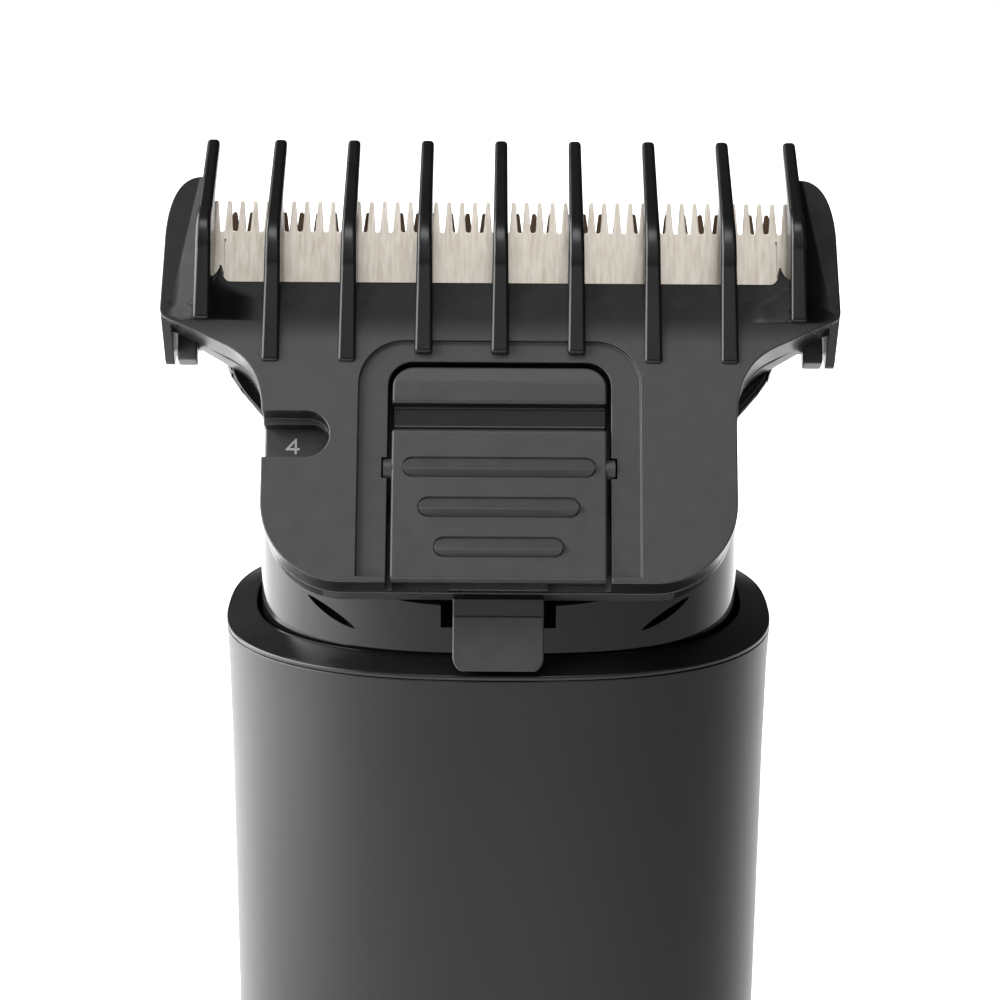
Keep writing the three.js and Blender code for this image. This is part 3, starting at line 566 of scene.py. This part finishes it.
def power_button():
    """An oval button with a flange inside the shell, a round edge and a dished face."""
    round_edge, dish, dish_rings = 0.5, 0.35, 12
    flange, flange_thick = 1.2, 0.9
    rows = [
        (BUTTON_INNER, BUTTON_HALF_X + flange, BUTTON_HALF_Z + flange),
        (BUTTON_INNER + flange_thick, BUTTON_HALF_X + flange, BUTTON_HALF_Z + flange),
        (BUTTON_INNER + flange_thick, BUTTON_HALF_X, BUTTON_HALF_Z),
    ]
    for inwards, upwards in quarter_round(8):
        inset = round_edge * inwards
        y = BUTTON_OUTER - round_edge * (1 - upwards)
        rows.append((y, BUTTON_HALF_X - inset, BUTTON_HALF_Z - inset))
    for i in range(1, dish_rings + 1):
        share = 1 - i / (dish_rings + 1)
        y = BUTTON_OUTER - dish * (1 - share ** 2) ** 1.5
        half_x = (BUTTON_HALF_X - round_edge) * share
        rows.append((y, half_x, (BUTTON_HALF_Z - round_edge) * share))
    button = loft("power_button", ellipse_rings(rows, BUTTON_Z))
    place(button, "button", GLOSS, ["power_button"], sharp=50)


def light_guide():
    """The indicator's milky bar, from the board out to the shell's face."""
    outline = capsule(LIGHT_HALF_X, LIGHT_HALF_Z, LIGHT_Z)
    guide = prism("light_guide", outline, BOARD_FACE, LIGHT_FACE)
    soften(guide, 0.18, angle=60)
    place(guide, "body", LENS, ["light_guide"])


def base_cap():
    """The rounded end of the body: a hollow plug with the socket's mouth and two screw holes."""
    cap_top, round_a, round_b = 3.7, 2.1, 2.0
    rows = []
    for inwards, upwards in quarter_round(12):
        rows.append((cap_top * inwards, BASE_A + round_a * upwards, BASE_B + round_b * upwards))
    cap = section_loft("base_cap", rows)
    plug = section_loft("plug", [(3.0, PLUG_A, PLUG_B), (7.5, PLUG_A, PLUG_B)])
    hollow = section_loft("hollow", [(2.4, HOLLOW_A, HOLLOW_B), (9.0, HOLLOW_A, HOLLOW_B)])
    slot = capsule(SOCKET_HALF_X + GAP, SOCKET_HALF_Y + GAP, SOCKET_Y)
    mouth = prism("mouth", slot, -1, 3, "Z")
    holes = []
    for x in (-BASE_SCREW_X, BASE_SCREW_X):
        holes.append(rod("counterbore", SCREW_HEAD + GAP, -1, SCREW_SUNK, (x, BASE_SCREW_Y)))
        holes.append(rod("clearance", SCREW_CLEAR, 0, 4, (x, BASE_SCREW_Y)))
    cut(join(cap, plug), hollow, mouth, *holes)
    place(tidy(soften(cap, 0.12, angle=50)), "body", SHELL, ["base_cap"])


# ------------------------------------------------------------------ neck and housing
def neck_sliver(side):
    """The cutter for a leaf-shaped groove near the neck's corner."""
    start = Vector((side * 14.5, -12.9, RIM_Z + 4.2))
    end = Vector((side * 10.6, -14.6, RIM_Z + 2.3))
    half_width, reach, steps = 0.32, 1.6, 40
    run = (end - start).normalized()
    out = Vector((side * 0.55, -0.83, 0))
    wide = run.cross(out).normalized()
    out = wide.cross(run).normalized()
    middle = (start + end) / 2
    half = (end - start).length / 2
    rings = []
    for depth in (-reach, reach):
        ring = []
        for i in range(steps):
            t = 2 * math.pi * i / steps
            across = half_width * math.sin(t) * abs(math.sin(t)) ** 0.5
            ring.append(tuple(middle + run * half * math.cos(t) + wide * across + out * depth))
        rings.append(ring)
    return loft("sliver", rings)


def above_seam(lift):
    """Everything above the seam between neck and housing: it climbs from the front, then is level."""
    before, ceiling = 4.0, 180
    drop = before * (NECK_TOP - NECK_FRONT_TOP) / NECK_SLOPE
    points = [
        (-NECK_B - before, NECK_FRONT_TOP + lift - drop),
        (-NECK_B + NECK_SLOPE, NECK_TOP + lift),
        (NECK_B + before, NECK_TOP + lift),
        (NECK_B + before, ceiling),
        (-NECK_B - before, ceiling),
    ]
    return prism("above_seam", points, -BEYOND, BEYOND, "X")


def head_neck():
    """The gloss tube that stands in the collar, with a notch in front for the release tab."""
    rows = refined([(NECK_BOTTOM, NECK_A, NECK_B), (NECK_TOP, NECK_A, NECK_B)], 4)
    inner = [(z, a - NECK_WALL, b - NECK_WALL) for z, a, b in rows]
    tube = section_loft("head_neck", rows + inner[::-1], closed=True)
    through = -NECK_B + NECK_WALL + 0.5
    notch = box("notch", -NOTCH_HALF, NOTCH_HALF, -NECK_B - 1, through, NOTCH_BOTTOM, NECK_TOP + 1)
    cut(tube, notch, neck_sliver(-1), neck_sliver(1), above_seam(0))
    place(tidy(tube), "body", GLOSS, ["head_neck"], sharp=30)


def head_point(back, up):
    """A point of the comb's frame, given back and up along the face, as (y, z) of the body."""
    point = HEAD @ Vector((0, back, up))
    return (point.y, point.z)


def head_housing():
    """The wedge between neck and blades: it widens upwards and its back slopes to the edge."""
    rows = refined([(NECK_FRONT_TOP, HOUSING_A, HOUSING_B), (FLARE_LOW, HOUSING_A, HOUSING_B)], 3)
    flare_steps = 10
    for i in range(1, flare_steps + 1):
        share = i / flare_steps
        eased = share * share * (3 - 2 * share)
        z = FLARE_LOW + (FLARE_HIGH - FLARE_LOW) * share
        rows.append((z, HOUSING_A + HOUSING_WIDEN * eased, HOUSING_B))
    rows.append((165, HOUSING_A + HOUSING_WIDEN, HOUSING_B))
    housing = section_loft("head_housing", refined(rows, 2))
    common(housing, above_seam(GAP))
    side = [
        head_point(HOUSING_FRONT, -4),
        head_point(HOUSING_FRONT, 20.4),
        head_point(HOUSING_LEDGE, 20.4),
        head_point(HOUSING_LEDGE, 24.6),
        head_point(HOUSING_LEDGE + 2.1, 26.2),
    ]
    back_curve = curve_points(side[-1], (4.6, 160.2), (HOUSING_B, 151), (HOUSING_B, 136), steps=28)
    side_reach = 22
    common(housing, prism("side", side + back_curve, -side_reach, side_reach, "X"))
    soften(housing, 0.35, angle=18)
    front_wall, ledge, room_low, room_half = HOUSING_FRONT + HOUSING_WALL, HOUSING_LEDGE - 1, 138, 9.2
    room = [
        (-9.5, room_low),
        (-9.5, 145.5),
        head_point(front_wall, 19.2),
        head_point(front_wall, 20.6),
        head_point(ledge, 20.6),
        head_point(ledge, 24.9),
        head_point(CARRIAGE_BACK + 1.2, 24.9),
        (3.4, 154),
        (6.5, 148),
        (7.5, room_low),
    ]
    holes = []
    for x in (-SCREW_X, SCREW_X):
        hole = rod("screw_hole", 1.15, 5, 9, (x, SCREW_Z), "Y")
        hole.data.transform(HEAD)
        holes.append(hole)
    cut(housing, prism("room", room, -room_half, room_half, "X"), *holes)
    place(tidy(housing), "body", GLOSS, ["head_housing"], sharp=32)


# ------------------------------------------------------------------ blades
def toothed_outline(half, bottom, root, tip, count, width_root, width_tip, corner):
    """A plate with rounded lower corners and a row of teeth, round at their tips and roots."""
    pitch = 2 * half / count
    points = arc_points(-half + corner, bottom + corner, corner, 180, 270, 10)
    points += arc_points(half - corner, bottom + corner, corner, 270, 360, 10)
    gap = (pitch - width_root) / 2
    tip_radius = width_tip / 2
    for i in range(count - 1, -1, -1):
        x = -half + (i + 0.5) * pitch
        right = half if i == count - 1 else x + width_root / 2
        left = -half if i == 0 else x - width_root / 2
        points.append((right, root + gap))
        points += arc_points(x, tip - tip_radius, tip_radius, 0, 180, 6)
        points.append((left, root + gap))
        if i > 0:
            points += arc_points(x - pitch / 2, root + gap, gap, 0, -180, 6)[1:-1]
    return points


def fixed_blade():
    """The toothed plate that lies on the skin, its foot with two screw holes and two fine grooves."""
    back = BLADE_FRONT + BLADE_THICK
    outline = toothed_outline(
        BLADE_HALF, BLADE_BOTTOM, BLADE_ROOT, BLADE_TIP, TEETH, 0.60, 0.30, BLADE_CORNER
    )
    blade = prism("fixed_blade", outline, BLADE_FRONT, back)
    soften(blade, 0.05, angle=50, segments=2)
    foot = box("foot", -FOOT_HALF, FOOT_HALF, BLADE_FRONT, back, FOOT_BOTTOM, BLADE_BOTTOM + 1)
    join(blade, soften(foot, 0.08))
    holes = [rod("hole", 1.55, 2, 6, (x, SCREW_Z), "Y") for x in (-SCREW_X, SCREW_X)]
    groove_x, groove_half, groove_back = 20.5, 0.06, BLADE_FRONT + 0.25
    grooves = []
    for x in (-groove_x, groove_x):
        low, high = x - groove_half, x + groove_half
        grooves.append(box("groove", low, high, BLADE_FRONT - 1, groove_back, 20, BLADE_ROOT - 0.6))
    cut(blade, *holes, *grooves)
    place(tidy(blade), "body", BLADE, ["fixed_blade"], in_head=True)


def moving_blade():
    """The blade that strokes behind the fixed one: narrower, with fewer and wider teeth."""
    half, bottom, root, tip = BLADE_HALF - 1.2, BLADE_BOTTOM + 0.35, BLADE_ROOT - 0.3, BLADE_TIP - 0.6
    outline = toothed_outline(half, bottom, root, tip, MOVING_TEETH, 0.78, 0.34, BLADE_CORNER)
    blade = prism("moving_blade", outline, MOVING_FRONT, MOVING_FRONT + BLADE_THICK)
    soften(blade, 0.05, angle=50, segments=2)
    place(blade, "cutter", MOVING, ["moving_blade"], in_head=True)


# ------------------------------------------------------------------ comb and carrier
def lower_half(half, wing_half, wing_z):
    """The right half of the comb's lower edge, from its middle to the wing's lower corner."""
    points = [(0, 0), (half - CORNER, 0)]
    points += curve_points(
        (half - CORNER, 0), (half - 0.45 * CORNER, 0), (half, 0.45 * CORNER), (half, CORNER), steps=18
    )
    points.append((half, 11.6))
    points += curve_points(
        (half, 11.6), (half, 14.6), (half + 0.6, 16.6), (half + 3.0, 17.75), steps=18
    )
    points.append((wing_half - 0.4, wing_z - 0.2))
    return points


def mirrored(points):
    """A right half, from its middle round to its middle, with its mirror image."""
    left = [(-x, z) for x, z in reversed(points) if x > 1e-6]
    return points + left


def comb_outline():
    """The T of stem and wings, with the wide cut for the blade between the wings."""
    points = lower_half(STEM_HALF, WING_HALF, WING_CORNER_Z)
    points += curve_points(
        (WING_HALF - 0.4, WING_CORNER_Z - 0.2),
        (WING_HALF, WING_CORNER_Z),
        (WING_HALF, WING_CORNER_Z + 0.6),
        steps=5,
    )
    top = (22.3, WING_TOP_Z)
    side = (WING_HALF - 0.05, 26.8)
    points.append(side)
    points += curve_points(side, (WING_HALF - 0.15, 29.7), (23.95, WING_TOP_Z), top, steps=18)
    cusp = (20.58, CUT_Z + 1.45)
    points += [(SLOT_HALF, WING_TOP_Z), (SLOT_HALF, CUT_Z + 0.3)]
    points += curve_points((SLOT_HALF, CUT_Z + 0.3), (20.85, CUT_Z + 0.3), cusp, steps=8)
    points += curve_points(cusp, (20.4, CUT_Z), (CUT_HALF, CUT_Z), steps=8)
    points.append((0, CUT_Z))
    return mirrored(points)


def arch(half, bottom, top, radius):
    """A box with rounded upper corners."""
    points = [(-half, bottom), (half, bottom)]
    points += arc_points(half - radius, top - radius, radius, 0, 90)
    return points + arc_points(-half + radius, top - radius, radius, 90, 180)


def window_cutter(top, front, back):
    """The number window: open to the stem's left edge, round at its inner end."""
    radius = (top - WINDOW_BOTTOM) / 2
    points = [(-STEM_HALF - 1, WINDOW_BOTTOM)]
    points += arc_points(-WINDOW_INNER - radius, WINDOW_BOTTOM + radius, radius, -90, 90, 16)
    points.append((-STEM_HALF - 1, top))
    return prism("window", points, front, back)


def tine_thick(up):
    """How thick a tine is at a height up the face."""
    for (z0, t0), (z1, t1) in zip(TINE_THICK, TINE_THICK[1:]):
        if up <= z1:
            return t0 + (t1 - t0) * (up - z0) / (z1 - z0)
    return TINE_THICK[-1][1]


def tine(x, foot, lift):
    """A low fin up to a ridge over the blade, then a finger that leans back to a round tip."""
    slope = (TINE_LEAN[1] - TINE_TIP[1]) / (TINE_TIP[0] - TINE_LEAN[0])
    ridge = (TINE_RIDGE[0] + lift, TINE_RIDGE[1])
    crest = (TINE_CREST[0] + lift, TINE_CREST[1])
    lean_z = TINE_LEAN[0] + 0.65 * lift
    lean = (lean_z, TINE_LEAN[1] - slope * (lean_z - TINE_LEAN[0]))
    tip_z, tip = TINE_TIP
    beyond_tip = (tip_z + TIP_ROUND, tip - slope * TIP_ROUND)
    sunk, foot_step = -0.6, 0.25
    profile = [(foot, sunk), (foot, foot_step), ridge]
    profile += curve_points(ridge, crest, lean, steps=14)
    profile.append(TINE_TIP)
    profile += curve_points(TINE_TIP, beyond_tip, (tip_z, tip - 0.67), steps=5)
    profile += [(tip_z - 0.55, tip - 0.87), (TINE_UNDER_Z, TINE_UNDER)]
    profile += [(CUT_Z - TINE_ROOT, TINE_UNDER), (CUT_Z - TINE_ROOT, sunk)]
    fin = prism("tine", [(-proud, up) for up, proud in profile], -0.5, 0.5, "X")
    for vert in fin.data.vertices:
        vert.co.x = x + vert.co.x * tine_thick(vert.co.z)
    return soften(fin, 0.3, angle=50, segments=5)


def wing_leg(side):
    """The leg behind a wing's outer edge: its underside slants down from the face, then climbs."""
    points = [
        (LEG_FRONT, WING_CORNER_Z + 0.2),
        (LEG_BACK - 0.7, LEG_LOW + 0.05),
        (LEG_BACK, LEG_LOW),
        (LEG_DEEP, HOOK_LOW + 0.4),
        (LEG_DEEP, LEG_TOP),
        (COMB_THICK - 0.5, LEG_TOP),
        (LEG_FRONT, WING_CORNER_Z + 1),
    ]
    low, high = sorted((side * LEG_INNER, side * LEG_OUTER))
    return soften(prism("leg", points, low, high, "X"), 0.06, angle=60)


def bend_cutter():
    """What the bent front face takes away above the bend, which has a small radius."""
    soft = 0.7
    reach = WING_TOP_Z + 2 - BEND_Z
    fall = reach * math.tan(BEND_ANGLE)
    start, end = (0, BEND_Z - soft), (soft * math.tan(BEND_ANGLE), BEND_Z + soft)
    points = [start] + curve_points(start, (0, BEND_Z), end, steps=6)
    points += [(fall, BEND_Z + reach), (-2, BEND_Z + reach), (-2, start[1])]
    return prism("bend", points, -BEYOND, BEYOND, "X")


def is_wall(normal):
    """Whether a face looks sideways, seen from the front of the comb."""
    return abs((HEAD.to_3x3().inverted() @ Vector(normal)).y) < 0.5


def comb():
    """The plate with its bend, recess, openings and window, then the legs and the tines."""
    plate = prism("comb", comb_outline(), 0, COMB_THICK)
    cut(plate, bend_cutter())
    soften(tidy(plate), 0.12, angle=45, segments=3)
    through = COMB_THICK + 1
    recess_outline = arch(RECESS_HALF, RECESS_BOTTOM, RECESS_TOP, RECESS_RADIUS)
    recess = prism("recess", recess_outline, -1, RECESS_DEPTH)
    opening_outline = arch(OPENING_HALF, OPENING_BOTTOM, OPENING_TOP, OPENING_RADIUS)
    opening = prism("opening", opening_outline, -1, through)
    sill = box("sill", -OPENING_HALF, OPENING_HALF, -1, SILL_FRONT, -1, OPENING_BOTTOM + 1)
    window = window_cutter(WINDOW_TOP, -1, LINTEL_FRONT)
    under_lintel = window_cutter(WINDOW_TOP - 0.5, LINTEL_FRONT - 0.1, through)
    cut(plate, recess, opening, sill, window, under_lintel)
    soften(tidy(plate), 0.09, angle=50, segments=3)
    cut(plate, rod("pivots", 0.95, -8.5, 8.5, (PIVOT_Y, PIVOT_Z), "X"))
    slot_x, slot_half = 5.6, 2.05
    slots = [box("slot", x - slot_half, x + slot_half, 1.9, 2.75, -0.6, 0.5) for x in (-slot_x, slot_x)]
    cut(plate, *slots)
    legs = [wing_leg(side) for side in (-1, 1)]
    fins = []
    for x, foot in zip(TINE_X, TINE_FOOT):
        lift = END_RIDGE_LIFT if x == TINE_X[-1] else 0
        fins += [tine(place_x, foot, lift) for place_x in sorted({-x, x})]
    join(plate, *legs, *fins)
    made = place(tidy(plate), "comb", [COMB, SMOOTH_AND_SHADE], ["comb"], in_head=True, sharp=34)
    to_head = HEAD.inverted()
    tine_reach, skin = 0.74, 0.05

    def smooth_part(centre, normal):
        local = to_head @ (Vector(centre) / MM)
        near = min(abs(abs(local.x) - x) for x in TINE_X)
        proud = local.y < -skin or local.z > CUT_Z + skin
        on_tine = near < tine_reach and local.z > TINE_LOWEST and proud
        return on_tine or is_wall(normal)

    paint(made, 1, smooth_part)


def carrier_outline():
    """The comb's outline below, and two arms that end in the wing clips."""
    points = lower_half(STEM_HALF, CLIP_OUTER, 19.9)
    points += [
        (CLIP_OUTER, CLIP_TOP),
        (CLIP_INNER, CLIP_TOP),
        (CLIP_INNER, ARM_TOP),
        (17.4, ARM_TOP - 0.5),
        (15.3, CARRIER_TOP),
        (0, CARRIER_TOP),
    ]
    return mirrored(points)


def release_tab():
    """A strap in front of the neck and a lip, rounded below, that lies over the collar."""
    front, back, radius = -17.3, -16.35, 1.1
    points = [
        (front, TAB_TOP),
        (front, TAB_FOLD),
        (-19.0, TAB_BOTTOM + 0.15),
        (-18.3, TAB_BOTTOM),
        (back, RIM_Z + 3.6),
        (back, TAB_TOP),
    ]
    tab = prism("tab", points, -TAB_HALF, TAB_HALF, "X")
    outline = arc_points(-TAB_HALF + radius, TAB_BOTTOM + radius, radius, 180, 270, 10)
    outline += arc_points(TAB_HALF - radius, TAB_BOTTOM + radius, radius, 270, 360, 10)
    outline += [(TAB_HALF, RIM_Z + 7), (-TAB_HALF, RIM_Z + 7)]
    common(tab, prism("tab_outline", outline, -22, -14))
    soften(tab, 0.12, angle=25, segments=3)
    tab.data.transform(HEAD.inverted())
    return tab


def comb_carrier():
    """The layer under the comb, with clips behind the wings, notches for the latch and the tab."""
    plate = prism("comb_carrier", carrier_outline(), CARRIER_FRONT, CARRIER_BACK)
    soften(plate, 0.18, angle=50, segments=3)
    clips = []
    for side in (-1, 1):
        x0, x1 = sorted((side * CLIP_INNER, side * CLIP_OUTER))
        clips.append(soften(box("clip", x0, x1, CLIP_FRONT, CARRIER_BACK, CLIP_LOW, CLIP_TOP), 0.15))
        clips.append(soften(box("hook", x0, x1, CLIP_FRONT, HOOK_BACK, HOOK_LOW, CLIP_TOP), 0.15))
    notches = []
    notch_half, notch_high, notch_back = 4, 1.0, CARRIER_FRONT + 0.6
    for i in range(len(DIGITS)):
        low = 1.7 + SETTING_STEP * i
        notch = box("notch", -notch_half, notch_half, CARRIER_FRONT - 1, notch_back, low, low + notch_high)
        notches.append(notch)
    cut(join(plate, release_tab(), *clips), *notches)
    looks = [CARRIER, SMOOTH_AND_SHADE]
    made = place(tidy(plate), "carrier", looks, ["comb_carrier"], in_head=True)

    def smooth_part(centre, normal):
        above_tab = centre[2] > TAB_TOP * MM
        # The strap above the fold gets the darker smooth material as a painted shadow, the one under the
        # comb's lower edge
        strap_in_shadow = TAB_FOLD * MM < centre[2] < TAB_TOP * MM and abs(centre[0]) < (TAB_HALF + 0.1) * MM
        return strap_in_shadow or (is_wall(normal) and above_tab)

    paint(made, 1, smooth_part)


def stroke_bars(points, width):
    """The outline of a flat bar for each stroke of a line through points."""
    bars = []
    for (ax, az), (bx, bz) in zip(points, points[1:]):
        run = Vector((bx - ax, bz - az)).normalized()
        side = Vector((-run.y, run.x)) * width / 2
        run = run * width / 2
        bars.append([
            (ax - run.x + side.x, az - run.y + side.y),
            (ax - run.x - side.x, az - run.y - side.y),
            (bx + run.x - side.x, bz + run.y - side.y),
            (bx + run.x + side.x, bz + run.y + side.y),
        ])
    return bars


def number_strip():
    """The settings, printed a hair proud of the carrier's face, where the window passes them.

    The last one stands further out, where the carrier's top edge is high enough for it.
    """
    box_faces = ((0, 1, 2, 3), (7, 6, 5, 4), (0, 4, 5, 1), (1, 5, 6, 2), (2, 6, 7, 3), (3, 7, 4, 0))
    proud, sunk, stroke_width = CARRIER_FRONT - 0.03, CARRIER_FRONT + 0.02, 0.16
    for number, (digit, line) in enumerate(DIGITS.items()):
        centre_x = LAST_NUMBER_X if number == len(DIGITS) - 1 else NUMBER_X
        centre_z = NUMBER_Z + SETTING_STEP * number
        verts = []
        faces = []
        for bar in stroke_bars(line, stroke_width):
            start = len(verts)
            for depth in (proud, sunk):
                verts += [(centre_x + x, depth, centre_z + z) for x, z in bar]
            faces += [tuple(start + i for i in face) for face in box_faces]
        made = new_object(f"number_{digit}", verts, faces)
        made.data.transform(Matrix.Scale(MM, 4) @ HEAD)
        made.data.materials.append(NUMBERS)
        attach(made, "carrier")


# ------------------------------------------------------------------ latch
def grip_rib(front, half_x, half_z, z):
    """A bar with a sloping upper face and a short underside, which stands in its own shallow sink."""
    rib = prism("rib", capsule(half_x, half_z, z), -0.35, front + 0.5)
    upper = [(-1, z - 0.28), (-0.35, z - 0.28), (front + 0.14, z + 0.7), (-1, z + 0.7)]
    lower = [(-1, z - 0.2), (-0.35, z - 0.2), (front + 0.12, z - 0.6), (front + 0.12, z - 1), (-1, z - 1)]
    reach = 8
    slopes = [prism("slope", side, -reach, reach, "X") for side in (upper, lower)]
    cut(rib, *slopes)
    return soften(rib, 0.07, angle=35, segments=2)


def latch_lever():
    """The ribbed rocker, with a stepped catch above, a tooth behind and two stub pins."""
    front = 0.1
    back, groove_floor = front + LEVER_THICK, front + 0.8
    profile = [
        (back, LEVER_BOTTOM),
        (front, LEVER_BOTTOM),
        (front, GROOVE_LOW),
        (groove_floor, GROOVE_LOW + 0.4),
        (groove_floor, GROOVE_HIGH - 0.3),
        (front + 0.15, GROOVE_HIGH),
        (front + 0.1, 15.1),
        (front + 0.4, LEVER_TOP),
        (back, LEVER_TOP),
    ]
    lever = prism("latch_lever", profile, -LEVER_HALF, LEVER_HALF, "X")
    common(lever, prism("round_top", arch(LEVER_HALF, -1, LEVER_TOP, OPENING_RADIUS - 0.2), -1, 3))
    soften(lever, 0.18, angle=22, segments=4)
    margin = 0.1
    sinks = [prism("sink", capsule(half, GRIP_HALF_Z, z), -1, front + 0.16) for half, z in GRIPS]
    cut(lever, *sinks)
    for half, z in GRIPS:
        join(lever, grip_rib(front, half - margin, GRIP_HALF_Z - margin, z))
    tooth = box("tooth", -3.5, 3.5, back - 0.3, COMB_THICK - 0.05, 1.9, 2.5)
    join(lever, tooth, rod("pins", 0.78, -8.35, 8.35, (PIVOT_Y, PIVOT_Z), "X"))
    looks = [COMB, SMOOTH_AND_SHADE]
    made = place(tidy(lever), "lever", looks, ["latch_lever"], in_head=True, sharp=34)
    to_head = HEAD.inverted()

    # The groove's floor gets the darker smooth material as painted shade
    def groove(centre, _normal):
        local = to_head @ (Vector(centre) / MM)
        between_edges = GROOVE_LOW + 0.05 < local.z < GROOVE_HIGH - 0.1
        return between_edges and front + 0.3 < local.y < back - 0.05

    paint(made, 1, groove)


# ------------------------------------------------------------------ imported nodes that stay
KEPT = {
    STEEL: ["blade_screw_left", "blade_screw_right", "blade_spring", "battery_tab_top",
            "battery_tab_bottom", "power_switch", "charge_socket", "motor_can", "drive_cam",
            "base_screw_left", "base_screw_right"],
    BRASS: ["cam_roller", "motor_contact_left", "motor_contact_right"],
    FRAME: ["chassis", "motor_holder", "blade_spacer", "blade_carriage"],
    BOARD: ["circuit_board"],
    WRAP: ["battery_cell"],
    RUBBER: ["neck_gasket", "motor_lead_left", "motor_lead_right", "control_chip"],
}


def dress_kept_nodes():
    """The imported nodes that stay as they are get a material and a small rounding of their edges."""
    for look, names in KEPT.items():
        for name in names:
            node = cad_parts[name]
            node.data.materials.clear()
            node.data.materials.append(look)
            edge = node.modifiers.new("edge", "BEVEL")
            edge.width = 0.00006
            edge.segments = 2
            edge.limit_method = "ANGLE"
            edge.angle_limit = math.radians(50)
            node.data.shade_smooth()
            node.data.set_sharp_from_angle(angle=math.radians(35))


# ------------------------------------------------------------------ stage, lights and camera
def stage():
    """A pale floor just under the object, in metres."""
    half_width, near, far, below = 7, -3, 9, 0.0004
    verts = [(-half_width, near, 0), (half_width, near, 0), (half_width, far, 0), (-half_width, far, 0)]
    floor = new_object("floor", verts, [(0, 1, 2, 3)])
    floor.location.z = -below
    made, tree, shader = new_material("pale_floor")
    vector = object_coordinates(tree)
    drift = noise(tree, vector, 3.0, 2.0)
    tree.links.new(shades(tree, drift, grey(0.86), grey(0.90)), shader.inputs["Base Color"])
    shader.inputs["Roughness"].default_value = 0.9
    shader.inputs["Emission Color"].default_value = (1, 1, 1, 1)
    shader.inputs["Emission Strength"].default_value = 0.07
    floor.data.materials.append(made)


def area_light(name, at, target, width, height, power):
    """A rectangular light that faces a target, in metres and watts."""
    data = bpy.data.lights.new(name, "AREA")
    data.shape = "RECTANGLE"
    data.size = width
    data.size_y = height
    data.energy = power
    made = bpy.data.objects.new(name, data)
    bpy.context.scene.collection.objects.link(made)
    made.location = at
    made.rotation_euler = (Vector(target) - Vector(at)).to_track_quat("-Z", "Y").to_euler()


def lights():
    """Soft light from the left, above and the front, and a wash that only lights the floor behind."""
    aim = (0, -0.01, 0.13)
    area_light("left_softbox", (-0.50, -0.01, 0.31), aim, 0.82, 0.6, 12.5)
    area_light("top_softbox", (-0.04, -0.27, 0.95), aim, 0.45, 0.3, 2.2)
    area_light("front_fill", (0.30, -0.75, 0.85), aim, 1.0, 0.7, 1.3)
    area_light("floor_wash", (0, 0.3, 1.2), (0, 3.2, 0.48), 1.6, 0.3, 74)
    world = bpy.data.worlds.new("studio")
    world.use_nodes = True
    shade = world.node_tree.nodes["Background"]
    shade.inputs["Color"].default_value = (1, 1, 1, 1)
    shade.inputs["Strength"].default_value = 0.05
    bpy.context.scene.world = world


CAMERA_AT = (0.00007, -0.23119, 0.20427)
CAMERA_TILT, CAMERA_ROLL = math.radians(75), math.radians(0.36)
FOCAL_LENGTH = 111.37


def camera():
    """A camera in front that looks 15 degrees down, with a trace of roll."""
    data = bpy.data.cameras.new("camera")
    data.sensor_width = 36
    data.lens = FOCAL_LENGTH
    data.clip_start = 0.01
    data.clip_end = 50
    made = bpy.data.objects.new("camera", data)
    bpy.context.scene.collection.objects.link(made)
    turn = Matrix.Rotation(CAMERA_TILT, 4, "X") @ Matrix.Rotation(CAMERA_ROLL, 4, "Z")
    made.matrix_world = Matrix.Translation(CAMERA_AT) @ turn
    bpy.context.scene.camera = made


# ------------------------------------------------------------------ build
body_shell()
collar_ring()
power_button()
light_guide()
base_cap()
head_neck()
head_housing()
fixed_blade()
moving_blade()
comb()
comb_carrier()
number_strip()
latch_lever()
dress_kept_nodes()
stage()
lights()
camera()
bpy.context.scene.view_settings.view_transform = "Standard"
